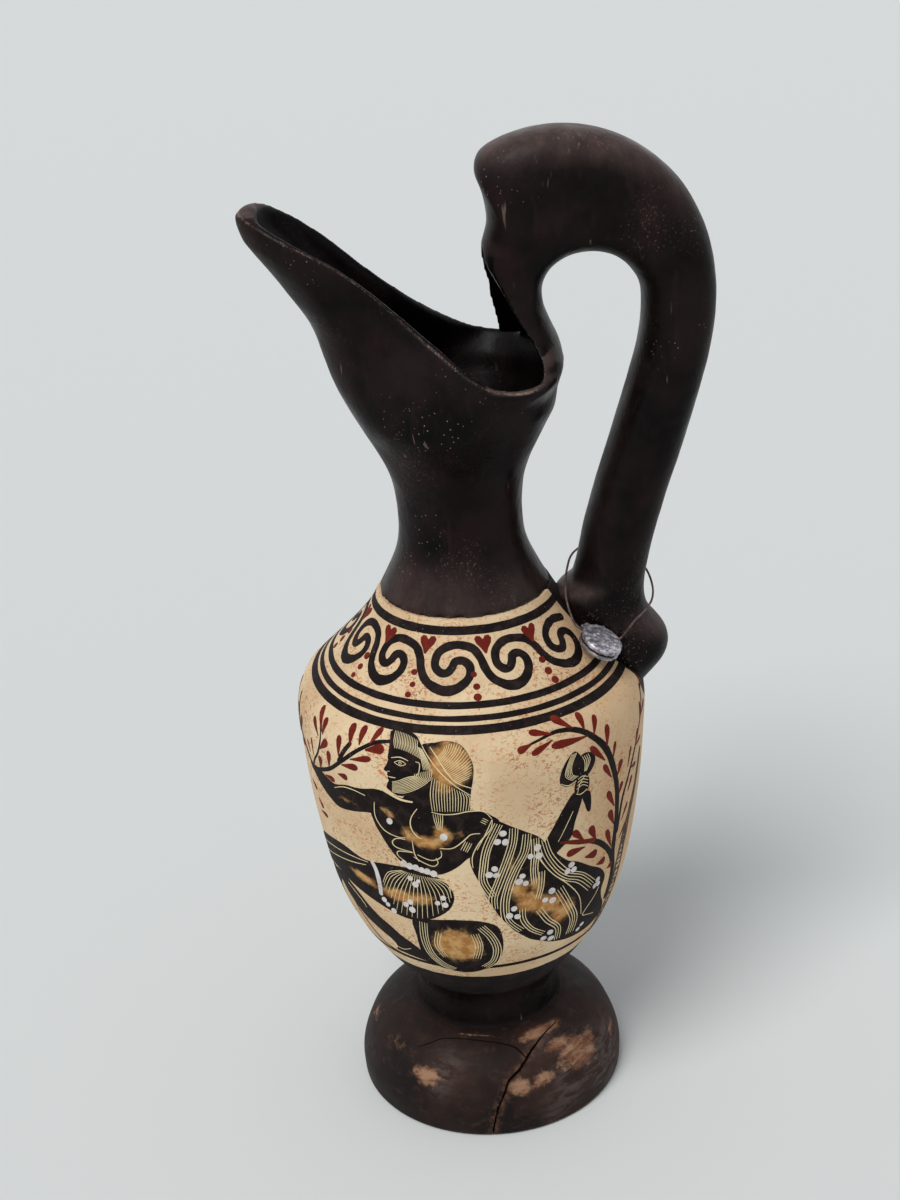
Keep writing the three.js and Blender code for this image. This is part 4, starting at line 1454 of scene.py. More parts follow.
@dataclass
class Layer:
    """The shapes of one paint on the unrolled wall."""

    wall: UnrolledWall
    shapes: list[list[Point2]] = field(default_factory=list)

    def area(self, points: Sequence[Point2], steps: int = 3) -> None:
        """Fills a soft-cornered outline."""
        closed = [*points, points[0]]
        looped = smooth_path([points[-1], *closed, points[1]], steps)[steps:-steps - 1]
        self.shapes.append([(p[0], p[1]) for p in looped])

    def disc(self, u: float, v: float, radius: float, tall: float = 1.0, turn: float = 0.0,
             sides: int = 12) -> None:
        """Fills a disc or an oval.

        Args:
            u: Its centre along the girth.
            v: Its centre's height.
            radius: Its half width in real millimetres.
            tall: Its height as a share of its width.
            turn: Its turn in degrees.
            sides: How many points it has.
        """
        along, rise = self.wall.scales(v)
        cos, sin = math.cos(math.radians(turn)), math.sin(math.radians(turn))
        ring = []
        for k in range(sides):
            a = 2 * math.pi * k / sides
            x, y = radius * math.cos(a), radius * tall * math.sin(a)
            ring.append((u + (x * cos - y * sin) / along, v + (x * sin + y * cos) / rise))
        self.shapes.append(ring)

    def stroke(self, points: Sequence[Point2], width: float, end: float | None = None,
               start: float | None = None) -> None:
        """Draws one stroke of the brush or the needle.

        Args:
            points: The points that it runs through.
            width: Its width at its middle in real millimetres.
            end: Its width at its end, or the same.
            start: Its width at its start, or the same.
        """
        longest = max(math.dist(a, b) for a, b in zip(points, points[1:]))
        path = smooth_path(points, max(1, math.ceil(longest / 1.3)))
        last = len(path) - 1
        left, right = [], []
        for i, (u, v) in enumerate(path):
            a, b = path[max(i - 1, 0)], path[min(i + 1, last)]
            along, rise = self.wall.scales(v)
            du, dv = (b[0] - a[0]) * along, (b[1] - a[1]) * rise
            length = math.hypot(du, dv) or 1.0
            t = i / last
            w = width
            if start is not None and t < 0.5:
                w = start + (width - start) * 2 * t
            if end is not None and t >= 0.5:
                w = end + (width - end) * 2 * (1 - t)
            wobble = 1 + 0.12 * noise.noise(Vector((u * 0.35, v * 0.35, width)))
            x, y = -dv / length * w * wobble / 2 / along, du / length * w * wobble / 2 / rise
            left.append((u + x, v + y))
            right.append((u - x, v - y))
        for i in range(last):
            self.shapes.append([left[i], left[i + 1], right[i + 1], right[i]])
        if width > 0.6:
            self.disc(*path[0], (width if start is None else start) * 0.5)
            self.disc(*path[-1], (width if end is None else end) * 0.5)

    def leaf(self, base: Point2, tip: Point2, width: float) -> None:
        """Draws a drop-shaped leaf from its base to its round tip."""
        du, dv = tip[0] - base[0], tip[1] - base[1]
        along, rise = self.wall.scales(tip[1])
        length = math.hypot(du * along, dv * rise) or 1.0
        x, y = -dv * rise / length / along, du * along / length / rise
        outline = []
        for share, half in ((0, 0.08), (0.25, 0.22), (0.5, 0.38), (0.75, 0.5), (0.92, 0.42), (1.02, 0.18)):
            outline.append((share, half * width))
        left = [(base[0] + du * s + x * h, base[1] + dv * s + y * h) for s, h in outline]
        right = [(base[0] + du * s - x * h, base[1] + dv * s - y * h) for s, h in reversed(outline)]
        self.shapes.append([*left, *right])

    def build(self, name: str, lift: float, soft: Callable[[float, float], float] | None = None,
              cell: float = 2.2) -> bpy.types.Object:
        """Merges the shapes and lays them on the wall as one thin closed coat.

        Args:
            name: The piece's name.
            lift: The thickness of the coat.
            soft: Tells how strongly the glaze covers a place, kept on the points as glaze.
            cell: The widest that a facet may be, so that the coat follows the wall.

        Returns:
            The coat.
        """
        points: list[Point2] = []
        edges: list[tuple[int, int]] = []
        for shape in self.shapes:
            first, count = len(points), len(shape)
            edges.extend((first + k, first + (k + 1) % count) for k in range(count))
            points.extend(shape)
        cover = Cover(self.shapes)
        us, vs = [p[0] for p in points], [p[1] for p in points]
        rows = int((max(vs) - min(vs)) / cell) + 1
        columns = int((max(us) - min(us)) / cell) + 1
        for i in range(rows):
            fine = 2 if min(vs) + i * cell > 166 else 1
            for part in range(fine):
                for j in range(columns * fine):
                    spot = (min(us) + (j + 0.5 * (i % 2)) * cell / fine + 0.013,
                            min(vs) + (i + part / fine) * cell + 0.017)
                    if cover.holds(*spot):
                        points.append(spot)
        flat = geometry.delaunay_2d_cdt([Vector(p) for p in points], edges, [], 0, 1e-5, False)
        corners = flat[0]
        triangles = []
        for face in flat[2]:
            middle = sum((corners[k] for k in face), Vector((0, 0))) / 3
            if cover.holds(middle.x, middle.y):
                triangles.append(face)
        piece, places = self.coat(name, corners, triangles, lift)
        if soft:
            layer = piece.data.attributes.new("glaze", "FLOAT", "POINT")
            layer.data.foreach_set("value", [soft(p.x, p.y) for p in places] * 2)
        return piece

    def coat(self, name: str, corners: Sequence[Vector], triangles: Sequence[Sequence[int]],
             lift: float) -> tuple[bpy.types.Object, list[Vector]]:
        """Gives flat triangles their thickness on the wall.

        Args:
            name: The piece's name.
            corners: The points of the flat drawing.
            triangles: Its faces.
            lift: The thickness of the coat.

        Returns:
            The coat as a closed shell, and the flat places of its upper points.
        """
        used = sorted({k for t in triangles for k in t})
        number = {k: i for i, k in enumerate(used)}
        count = len(used)
        top = [self.wall.place(corners[k].x, corners[k].y, lift) for k in used]
        bottom = [self.wall.place(corners[k].x, corners[k].y, -0.05) for k in used]
        faces: list[list[int]] = []
        rim: dict[tuple[int, int], tuple[int, int]] = {}
        for t in triangles:
            a, b, c = (number[k] for k in t)
            faces.append([a, b, c])
            faces.append([c + count, b + count, a + count])
            for p, q in ((a, b), (b, c), (c, a)):
                if (q, p) in rim:
                    del rim[(q, p)]
                else:
                    rim[(p, q)] = (p, q)
        faces.extend([q, p, p + count, q + count] for p, q in rim.values())
        return mesh_object(name, [*top, *bottom], faces), [corners[k] for k in used]


# Crests of the running wave along the girth, and one wave from crest to crest
CRESTS = (-275.0, -241.0, -207.0, -173.5, -140.0, -107.0, -74.0, -42.4, -5.3, 27.4, 65.0)
WAVE_PITCH = 34.4
WAVE = (
    (0, 201.4), (8.3, 200.2), (12.4, 197.5), (14.5, 194.5), (17.8, 191.7), (23.5, 189.8),
    (29.2, 189.3), (34.8, 190.4), (38.9, 192.6), (39.5, 195.2), (36.5, 196.9), (32.2, 196.8),
    (30.3, 195.0), (27.9, 193.7), (24.4, 193.9), (21.5, 195.8), (22.4, 198.9), (27.5, 200.9),
)
HEARTS = (-260.0, -226.0, -191.0, -157.0, -125.0, -93.5, -55.8, -26.0, 9.7, 41.5)
DOTS = (-267.0, -233.0, -199.0, -166.0, -132.0, -99.5, -64.5, -29.6, 2.6, 41.2)
ROOT_LEFT, ROOT_RIGHT = -281.0, 88.0

@dataclass(frozen=True)
class PlainFace:
    """A plain, calm profile on textbook proportions, turned to the left.

    Hairline to brow, brow to the nose's base and nose's base to chin are three equal thirds. The eye lies
    half way down the head, the mouth a third of the way from the nose's base to the chin, and the ear
    between the levels of brow and nose's base. Only the head's place and rough size are given.
    """

    front: float = -31.2
    crown: float = 178.5
    height: float = 19.0
    hairline: float = 0.17

    def at(self, out: float, level: float) -> Point2:
        """Gives a place on the wall.

        Args:
            out: How far it stands in front of the face's plane, as a share of the head's height.
            level: How far it lies under the crown, as a share of the same.
        """
        return (self.front - out * self.height, self.crown - level * self.height)

    @property
    def brow(self) -> float:
        """Level of the brow, a third of the way from the hairline to the chin."""
        return self.hairline + (1 - self.hairline) / 3

    @property
    def nose_base(self) -> float:
        """Level of the nose's base, two thirds of the way from the hairline to the chin."""
        return self.hairline + 2 * (1 - self.hairline) / 3

    @property
    def mouth(self) -> float:
        """Level of the mouth, a third of the way from the nose's base to the chin."""
        return self.nose_base + (1 - self.nose_base) / 3

    def profile(self) -> list[Point2]:
        """Gives the outline from the beard's front up to the hairline."""
        lip = 0.04
        shape = (
            (0.06, 1.08), (0.06, 1.02), (0.035, 0.95), (0.005, 0.9),
            (0.03, self.mouth + lip), (0.012, self.mouth), (0.036, self.mouth - lip),
            (0.02, self.nose_base + 0.01), (0.1, self.nose_base - 0.03),
            (0.04, (self.brow + self.nose_base) / 2), (0, self.brow + 0.03), (0.014, self.brow),
            (0.004, self.hairline),
        )
        return [self.at(out, level) for out, level in shape]

    def lines(self) -> list[tuple[list[Point2], float]]:
        """Gives the scratched lines of eye, brow, nostril, mouth and ear with their widths."""
        eye, half, lid = 0.51, 0.115, 0.05
        inward = -0.24
        almond = [(inward + half, eye), (inward, eye - lid), (inward - half, eye), (inward, eye + lid),
                  (inward + half, eye)]
        pupil = [(inward + 0.03, eye), (inward, eye - 0.03), (inward - 0.03, eye), (inward, eye + 0.03),
                 (inward + 0.03, eye)]
        brow = [(-0.06, self.brow - 0.01), (inward, self.brow - 0.045), (-0.4, self.brow)]
        nostril = [(0.03, self.nose_base - 0.01), (-0.03, self.nose_base - 0.02)]
        lips = [(0, self.mouth), (-0.07, self.mouth + 0.004), (-0.14, self.mouth)]
        ear = [(-0.54, self.brow), (-0.62, self.brow + 0.03), (-0.6, self.nose_base - 0.08),
               (-0.54, self.nose_base)]
        strokes = ((almond, 0.3), (pupil, 0.28), (brow, 0.34), (nostril, 0.28), (lips, 0.34), (ear, 0.3))
        return [([self.at(*p) for p in line], width) for line, width in strokes]


# Warm glazes on the black: place, reach along and up, turn in degrees, strength
GLAZES = (
    (-51.5, 147.2, 6.0, 1.1, 8, 0.8), (-33.4, 147.5, 3.4, 1.4, -32, 0.9),
    (-26.0, 140.0, 3.2, 3.6, 20, 0.8), (-19.5, 137.6, 6.5, 2.6, -6, 1.1),
    (-13.2, 141.2, 3.0, 4.0, 0, 1.0), (-6.5, 141.4, 3.4, 2.2, 10, 0.5),
    (-52.0, 112.8, 6.5, 1.8, -6, 1.2), (-33.0, 110.6, 9.5, 3.0, 0, 1.1),
    (-24.0, 111.4, 5.0, 3.0, 0, 0.8), (-12.6, 88.6, 7.6, 7.6, 0, 1.5),
    (-8.8, 169.0, 6.4, 7.0, 0, 1.4), (-11.6, 161.0, 3.0, 3.6, 0, 0.8),
    (10.6, 127.0, 1.8, 5.0, 0, 0.6), (13.6, 115.0, 3.2, 5.0, 0, 1.0),
    (18.5, 108.0, 5.0, 4.4, 0, 1.2), (26.5, 104.6, 5.6, 4.2, -20, 1.2),
    (33.5, 98.6, 4.6, 5.2, -30, 1.1), (20.6, 115.5, 3.0, 4.0, 0, 0.8),
)


@dataclass
class Painter:
    """Draws the borders and the figures and keeps one layer for each paint."""

    body: Body

    def __post_init__(self) -> None:
        """Starts the empty layers."""
        self.wall = UnrolledWall(self.body)
        self.layers = {paint: Layer(self.wall) for paint in Paint}

    def decorate(self) -> None:
        """Draws everything."""
        self.borders()
        self.hearts_and_dots()
        self.left_branch()
        self.right_tree()
        self.man()
        self.legs_and_seat()
        self.cloak()
        self.raised_hand()
        self.head_lines()
        self.chest_lines()
        self.leg_lines()
        self.white_dots()
        self.far_side()

    def band(self, low: float, high: float) -> None:
        """Draws a black band round the wall between two heights."""
        steps = 180
        width = (ROOT_RIGHT - ROOT_LEFT) / steps
        for i in range(steps):
            u0, u1 = ROOT_LEFT + i * width, ROOT_LEFT + (i + 1) * width
            edges = []
            for u, v in ((u0, low), (u1, low), (u1, high), (u0, high)):
                edges.append((u, v + 0.12 * noise.noise(Vector((u * 0.11, v * 3, 0)))))
            self.layers[Paint.BLACK].shapes.append(edges)

    def borders(self) -> None:
        """Draws the bands of the shoulder, the running wave and the ground line."""
        for low, high in ((204.2, 206.9), (184.5, 186.3), (181.3, 182.8), (178.1, 180.4)):
            self.band(low, high)
        path: list[Point2] = []
        for crest, following in zip(CRESTS, CRESTS[1:]):
            scale = (following - crest) / WAVE_PITCH
            path.extend((crest + du * scale, v) for du, v in WAVE)
        path.extend([(CRESTS[-1], 201.4), (CRESTS[-1] + 9, 200.2)])
        self.layers[Paint.BLACK].stroke(path, 3.0)
        for crest, following in zip(CRESTS, CRESTS[1:]):
            scale = (following - crest) / WAVE_PITCH
            self.layers[Paint.BLACK].stroke(
                [(crest + du * scale, v - 0.2) for du, v in WAVE[4:9]], 3.9, end=2.8, start=2.8)
        ground = [(u, 75.4 + 0.25 * math.sin(u / 17)) for u in range(-297, 106, 6)]
        self.layers[Paint.BLACK].stroke(ground, 2.0)

    def hearts_and_dots(self) -> None:
        """Draws the small red hearts above the wave and the dots below it."""
        red = self.layers[Paint.RED]
        along, rise = self.wall.scales(201)
        for k, u in enumerate(HEARTS):
            lean = 0.7 * math.sin(3.1 * k)
            half = ((0, 1.6), (1.0, 2.9), (2.3, 3.0), (3.1, 1.9), (2.6, 0.2), (1.2, -1.7), (0.3, -3.5))
            ring = [(u + (x + lean * y / 3) / along, 201.3 + y / rise) for x, y in half]
            ring += [(u + (-x + lean * y / 3) / along, 201.3 + y / rise) for x, y in reversed(half[1:])]
            red.shapes.append(ring)
        for k, u in enumerate(DOTS):
            for row, v in enumerate((193.2, 190.0, 187.3)):
                jitter = 0.6 * math.sin(5.3 * k + 2.1 * row)
                red.disc(u + jitter, v, 1.3 + 0.22 * math.sin(7.7 * k + row), 0.95, 12 * jitter)

    def branch(self, path: Sequence[Point2], width: float, end: float = 0.5) -> None:
        """Draws a black stem that thins to its end."""
        self.layers[Paint.BLACK].stroke(path, width, end=end)

    def leaves(self, pairs: Sequence[tuple[Point2, Point2]], width: float = 2.7) -> None:
        """Draws red leaves, each from its base to its tip."""
        for k, (base, tip) in enumerate(pairs):
            self.layers[Paint.RED].leaf(base, tip, width * (1 + 0.12 * math.sin(4.7 * k)))

    def left_branch(self) -> None:
        """Draws the leafy branch that the man holds on the left."""
        self.branch([(-72, 149), (-76, 151.4), (-80, 155), (-85, 160), (-89, 166), (-92, 173)], 1.9, 1.2)
        self.branch([(-74.4, 152.2), (-72, 155.6), (-68.3, 159.6), (-65.6, 164.8), (-65.2, 169.5),
                     (-67.4, 174.5)], 0.95, 0.6)
        self.branch([(-73, 151), (-69.3, 152.4), (-60.1, 156.9), (-51.8, 163.5), (-45, 169.1),
                     (-39, 173), (-35.6, 174.3), (-31.1, 175.2)], 1.6, 1.3)
        self.branch([(-54, 162.4), (-51, 167.2), (-48.1, 171)], 1.7, 1.6)
        self.branch([(-85, 160), (-93, 163), (-101, 169)], 1.2, 0.6)
        self.leaves([
            ((-64.4, 169.7), (-68.9, 177)), ((-66.6, 167.3), (-71.5, 172.6)), ((-63.8, 169), (-63.2, 175)),
            ((-48.1, 170.4), (-48.8, 177)), ((-43.9, 171.6), (-43.4, 177.4)), ((-39.4, 172.8), (-36.2, 178)),
            ((-53.8, 164.4), (-53.8, 172)), ((-65.8, 162.6), (-60.6, 167.6)), ((-60.6, 157.3), (-59.6, 164)),
            ((-47.9, 165.2), (-38.6, 168)), ((-52.6, 161.4), (-44.6, 162.9)), ((-67.6, 154), (-66.4, 159)),
            ((-55.4, 156.6), (-50.4, 156.8)), ((-64.4, 152.4), (-58.4, 152.6)), ((-81, 157), (-86.5, 156)),
            ((-86, 161), (-84, 167)), ((-89, 165), (-94, 168)), ((-92, 163), (-92, 157.6)),
            ((-97, 166), (-103, 165)), ((-100, 169), (-104, 174)),
        ])
        self.leaves([((-72.6, 157), (-72.6, 163.6)), ((-75.8, 156.4), (-77.4, 161))], 1.3)
        self.leaves([((-76, 137), (-72.4, 134.4)), ((-75.8, 131.6), (-69.6, 132)),
                     ((-81, 142.5), (-76, 140.8))], 2.2)
        self.leaves([((-41, 170.6), (-33.4, 172.6))], 3.7)

    def right_tree(self) -> None:
        """Draws the tree on the right with its hanging branches."""
        self.branch([(62.6, 92), (62.8, 104.3), (60.6, 114.2), (60.2, 129.5), (58.3, 145.2), (52, 160.9),
                     (44.5, 170), (38.6, 173.8), (32.3, 175.1), (27.5, 174.9), (19.7, 173.5)], 2.8, 0.7)
        self.branch([(62, 122), (63.6, 134.7), (67.5, 142), (72.7, 150.5), (78.5, 161), (84, 172)], 1.5, 0.8)
        self.branch([(61.8, 108), (57.2, 115.9), (50.6, 122.6), (44.7, 126.3), (41.1, 127.4)], 2.3, 1.7)
        self.layers[Paint.RED].stroke([(46.6, 125.8), (41, 127.6), (34.5, 130), (30.6, 131.2)], 2.0, end=0.9)
        self.layers[Paint.WASH].stroke([(64, 75.6), (66.4, 84), (67.6, 94), (68.4, 104), (69.8, 114),
                                        (72.4, 124), (77, 135), (81, 147)], 6.4, end=2.6, start=5.2)
        self.leaves([
            ((20.4, 173.5), (15.2, 172)), ((28.6, 173.2), (20.2, 170.2)), ((29, 175), (20.8, 176.8)),
            ((37.8, 174.6), (31.4, 179)), ((42.2, 172.6), (42.5, 177.8)),
            ((45.8, 169.6), (48.8, 175.4)), ((51.7, 162.6), (53, 170.6)), ((59, 147.5), (61.4, 153)),
            ((50.8, 157.6), (43.6, 165.8)), ((55, 148.6), (50.2, 155.8)), ((57.8, 135.2), (53, 143.3)),
            ((58.6, 127), (54.8, 134.4)), ((58.4, 117.2), (54, 126.4)), ((60.6, 138.6), (62.8, 143)),
        ])
        self.leaves([
            ((47.6, 125.8), (44.2, 132.6)), ((41, 128.4), (36, 134)), ((41.9, 124.9), (33.6, 124.9)),
            ((42.6, 119.9), (49, 119.1)), ((49.8, 113.3), (55, 113.2)), ((57.8, 107.6), (61, 108.4)),
        ], 3.3)
        self.leaves([((42.9, 170.4), (28, 171.2))], 3.0)
        self.leaves([
            ((55.6, 156.3), (56.6, 162.5)), ((66.8, 147), (68.9, 154.5)), ((73.6, 151), (75.3, 158.5)),
            ((68.3, 136), (71.6, 141)), ((64.8, 125.6), (69, 131)), ((64.6, 117.6), (70, 122.3)),
            ((78, 160), (79, 167.4)), ((79.6, 162), (86, 165)), ((83, 170), (88, 173)),
            ((74, 152), (80, 153)), ((70, 145), (75, 144.5)),
        ], 1.8)

    def man(self) -> None:
        """Draws the reclining man's arm, chest, head and hair."""
        black = self.layers[Paint.BLACK]
        black.area([(-77, 151.6), (-70, 152.8), (-64, 151.8), (-58.6, 151), (-52, 153.3), (-47, 154),
                    (-42, 155.1), (-38, 156.3), (-33, 156.2), (-28, 155.2), (-24, 154), (-20, 150),
                    (-34, 144), (-40.6, 145.4), (-49, 143.3), (-57.5, 141.6), (-62.4, 142.7),
                    (-68.6, 145.2), (-73.4, 148), (-77.5, 150.2)])
        black.area([(-41, 149), (-36, 153), (-30, 154.6), (-24, 154), (-18, 155), (-12, 151), (-6, 151.6),
                    (1, 151.2), (4.4, 149), (7.4, 146), (6.6, 141), (1, 137), (-3, 132.4), (-5.4, 130.6),
                    (-8, 128), (-12, 125.2), (-17, 123.4), (-24, 124.4), (-30, 126.6), (-34, 131),
                    (-37.6, 137), (-40, 142)])
        black.area([(-27, 153), (-24, 158), (-16, 164), (-13, 152), (-18, 149)])
        black.area([(-32.4, 177.6), (-29.5, 178.4), (-25.4, 178.4), (-21.6, 177.5), (-19.4, 175.6),
                    (-17.6, 173.6), (-15.2, 170.4), (-14.4, 167), (-15.2, 163.4), (-17.8, 160.6),
                    (-21, 158.4), (-25, 156.4), (-28.6, 155.8), *PlainFace().profile()], 2)
        black.area([(-19.4, 175.2), (-14.3, 176.2), (-10.7, 176.7), (-6.1, 176.2), (-3.4, 174.6),
                    (-1.5, 171.5), (-0.7, 168.3), (-1.1, 164), (-1.8, 160.6), (-2.2, 157.8), (-2.6, 155),
                    (-3.2, 151), (-8, 149.8), (-11.6, 149.4), (-12, 147), (-12.4, 143.4), (-13.6, 142),
                    (-15.2, 143.4), (-16.2, 147), (-17, 151), (-17.2, 156), (-16.2, 161), (-15, 166),
                    (-16.6, 171)])

    def legs_and_seat(self) -> None:
        """Draws the man's raised thigh, his shin and the cushion under him."""
        black = self.layers[Paint.BLACK]
        black.area([(-97, 108), (-90, 114), (-81.9, 119), (-70, 122.4), (-60.4, 123.8), (-50.2, 122.4),
                    (-44, 122.9), (-38.1, 124), (-28.4, 124.7), (-22.3, 123.4), (-16.2, 122), (-12.6, 118.4),
                    (-11.1, 113), (-13.8, 107.2), (-20.4, 102.5), (-28.1, 100), (-33.9, 100), (-40.3, 101.3),
                    (-47.7, 103.2), (-57.1, 105.1), (-64.2, 106.4), (-71.8, 107.6), (-82, 106), (-92, 103)])
        black.area([(-76, 106), (-68, 107.2), (-63.2, 105.3), (-58.3, 102.6), (-54.5, 99.4), (-48.4, 95),
                    (-43.5, 92.4), (-39.3, 88.9), (-34.8, 86.2), (-30.2, 82.4), (-26.5, 79), (-26, 76),
                    (-33, 76.6), (-41.4, 77.5), (-47, 77.8), (-45.2, 80.4), (-46.4, 83.6), (-50.7, 86),
                    (-56.3, 88.6), (-61.7, 91), (-67.6, 95.4), (-72, 100)])
        black.stroke([(-66.6, 95), (-65.3, 91.8), (-61.6, 85.9), (-57.6, 80), (-51.8, 77), (-43.3, 75.8),
                      (-34.1, 75)], 0.9, end=0.5, start=0.5)
        black.area([(-80, 106), (-84, 99), (-86, 91), (-83, 85), (-77, 84), (-79, 90), (-77, 98), (-72, 104)])
        black.area([(-30.6, 99.4), (-26, 101), (-18, 102), (-12, 102.5), (-5.4, 102.3), (0.2, 101.3),
                    (5.5, 98.1), (7.4, 91), (7.1, 84), (4.2, 77.6), (-3, 73.4), (-10, 71.8), (-17.1, 72.3),
                    (-24, 74), (-28.4, 76.4), (-31, 81), (-30.4, 92)])

    def cloak(self) -> None:
        """Draws the cloak over the man's hips with its folds."""
        self.layers[Paint.BLACK].area([
            (6, 146.5), (11, 143.6), (17, 139.8), (21.6, 136.6), (25, 132), (30, 126), (34.5, 121.8),
            (39, 119.6), (46, 114.6), (53, 110), (57, 104.6), (56, 99), (58, 94), (61.6, 89.4), (63, 84),
            (58, 81), (50, 80.4), (42, 81), (36, 82.2), (30, 84), (25, 86.4), (20, 88.8), (16, 92),
            (12, 95.6), (9, 99.6), (6, 103.6), (4, 107.6), (1.4, 113), (-0.6, 119), (-3, 125), (-4, 131),
            (-1, 138), (3, 144)])
        fold = self.fold
        fold([(6.9, 145), (2.6, 135.3), (0.8, 127), (0.3, 120.2), (3.7, 113.2)], 4, 0.92)
        fold([(12.3, 142.4), (11.7, 135.9), (9, 127.6), (6, 119.6), (3.9, 112.8), (4, 107.4)], 4, 0.98)
        fold([(17.1, 139), (16.1, 131.4), (12.6, 124.5), (9.7, 117.1), (8.3, 109.1), (9.3, 101),
              (14.7, 94.6)], 4, 1.0)
        fold([(20.1, 136.4), (20.3, 129.3), (19.8, 122.4), (20.4, 116)], 4, 0.92)
        fold([(23, 121), (22.9, 114), (21.6, 108.6)], 3, 0.95)
        fold([(22.6, 134.8), (25, 127.2), (29.5, 119.7), (34.5, 115), (41.4, 111.4), (48.4, 104.6)], 5, 1.12)
        fold([(30.8, 110.4), (36.3, 100.9), (40.6, 92.2), (40.4, 84.4)], 4, 1.12)
        fold([(15.3, 105.6), (15.9, 100.2), (19.5, 94.6), (25.4, 90.2)], 3, 1.0)
        fold([(22.3, 103.4), (26.8, 96.9), (32.6, 90.8), (33.4, 84)], 3, 1.1)
        fold([(20.6, 129.4), (22.6, 125.6), (27.6, 118.5), (35.5, 110.4), (41.7, 102.2), (44.8, 92.4)], 1, 1, 0.42)
        fold([(53.6, 101.4), (51.6, 98), (46.1, 91.8), (50, 89.6), (54.8, 88)], 1, 1, 0.36)
        fold([(4.7, 147.2), (4, 143.3), (-0.4, 137.6), (-3, 132), (-3.1, 127)], 1, 1, 0.45)

    def raised_hand(self) -> None:
        """Draws the raised arm with the lotus flower."""
        black = self.layers[Paint.BLACK]
        black.area([(24.2, 133.6), (27.6, 139.4), (31.8, 146), (35.8, 150.4), (39.8, 149.4), (38.9, 144.3),
                    (36.6, 138.2), (35.2, 132.4), (31.6, 129.4), (27.4, 126.8), (24, 129.6)])
        black.area([(39.4, 148.4), (43, 148.6), (44, 144.4), (43.7, 140.2), (42.3, 140.2), (40.8, 144)])
        black.area([(36.8, 149), (36.2, 153.2), (38.4, 157), (41.7, 156), (42.9, 152.7), (42, 149.4)])
        black.area([(36.6, 166.9), (33, 164.7), (30.5, 160.6), (30, 156.2), (33.2, 153.9), (36.8, 154.8),
                    (39, 158.4), (39.2, 163.4)])
        black.area([(38.4, 163.8), (41, 164.8), (44.2, 163.7), (45.6, 161.1), (44.8, 158.2), (42.2, 155.6),
                    (39.4, 155.8), (38.4, 160)])
        fold = self.fold
        for k in range(5):
            fold([(35 + 0.55 * k, 166.2), (33 + 0.5 * k, 162.4), (32.2 + 0.7 * k, 158.4),
                  (35.2 + 0.6 * k, 155.8 + 0.2 * k)], 1, 1, 0.28)
        for k in range(4):
            fold([(39.4 + 0.9 * k, 164), (40.6 + 0.8 * k, 161.2), (40.4 + 0.3 * k, 157.6)], 1, 1, 0.26)
        fold([(30.4, 156), (33.4, 154.3), (36.8, 155.2)], 1, 1, 0.36)
        for k in range(4):
            fold([(37 + 0.2 * k, 151.4 + 1.3 * k), (39.6, 152.4 + 1.2 * k), (42.2, 150.8 + 1.3 * k)], 1, 1, 0.3)
        fold([(37.4, 149.6), (38.4, 153.2), (40.8, 156)], 1, 1, 0.3)
        fold([(36.8, 149.6), (39, 148.8), (41.8, 149.8)], 1, 1, 0.34)
        fold([(29.4, 132), (32.6, 137.6), (35.6, 143)], 1, 1, 0.3)

    def fold(self, path: Sequence[Point2], count: int, spread: float, width: float = 0.38) -> None:
        """Scratches several lines side by side.

        Args:
            path: The middle of the bundle.
            count: How many lines.
            spread: The distance between neighbours in real millimetres.
            width: The width of each line.
        """
        for k in range(count):
            shift = (k - (count - 1) / 2) * spread
            moved = []
            for i, (u, v) in enumerate(path):
                a, b = path[max(i - 1, 0)], path[min(i + 1, len(path) - 1)]
                along, rise = self.wall.scales(v)
                du, dv = (b[0] - a[0]) * along, (b[1] - a[1]) * rise
                length = math.hypot(du, dv) or 1.0
                wave = 1 + 0.12 * math.sin(1.7 * i + k)
                moved.append((u - dv / length * shift * wave / along, v + du / length * shift * wave / rise))
            self.layers[Paint.INCISED].stroke(moved, width, end=width * 0.6, start=width * 0.6)

    def head_lines(self) -> None:
        """Scratches hair, fillet, beard and a plain profile face."""
        fold = self.fold
        for k in range(15):
            t = k / 14
            fold([(-30.4 + 9.6 * t, 178 - 1.6 * t * t), (-29.9 + 9.4 * t, 175.6 - 1.6 * t * t),
                  (-29 + 9.8 * t, 173.5 - 2.4 * t * t)], 1, 1, 0.26)
        for k in range(6):
            t = k / 5
            fold([(-20.4 + 1.6 * t, 174.8 - 0.6 * t), (-18.9 + 2.2 * t, 171.4 - 0.3 * t),
                  (-18 + 2.8 * t, 167.4)], 1, 1, 0.26)
        for k in range(10):
            fold([(-15 - 0.72 * k, 167.8 - 0.25 * k), (-15.9 - 0.6 * k, 163.9 + 0.1 * k),
                  (-20.2 - 0.4 * k, 160.2 + 0.42 * k), (-25.6 - 0.24 * k, 157.4 + 0.5 * k),
                  (-30.4 + 0.05 * k, 157 + 0.46 * k)], 1, 1, 0.28)
        for line, width in PlainFace().lines():
            fold(line, 1, 1, width)
        fold([(-18.9, 175.2), (-15.1, 170.4), (-11.4, 165.9), (-7, 161.5), (-2.2, 157.8)], 1, 1, 0.42)
        fold([(-15.9, 175), (-13.2, 171.9), (-9.6, 166.4), (-6.4, 162.8), (-1.5, 160.6)], 1, 1, 0.42)
        for k in range(19):
            t = k / 18
            angle = math.radians(118 - 152 * t)
            foot = (-13.4 + 7 * t, 171.8 - 9 * t)
            rim = (-7.7 + 6.5 * math.cos(angle), 168.9 + 7.2 * math.sin(angle))
            middle = ((foot[0] + rim[0]) / 2 + 1.1, (foot[1] + rim[1]) / 2 + 0.5)
            fold([foot, middle, rim], 1, 1, 0.26)
        for k in range(15):
            t = k / 14
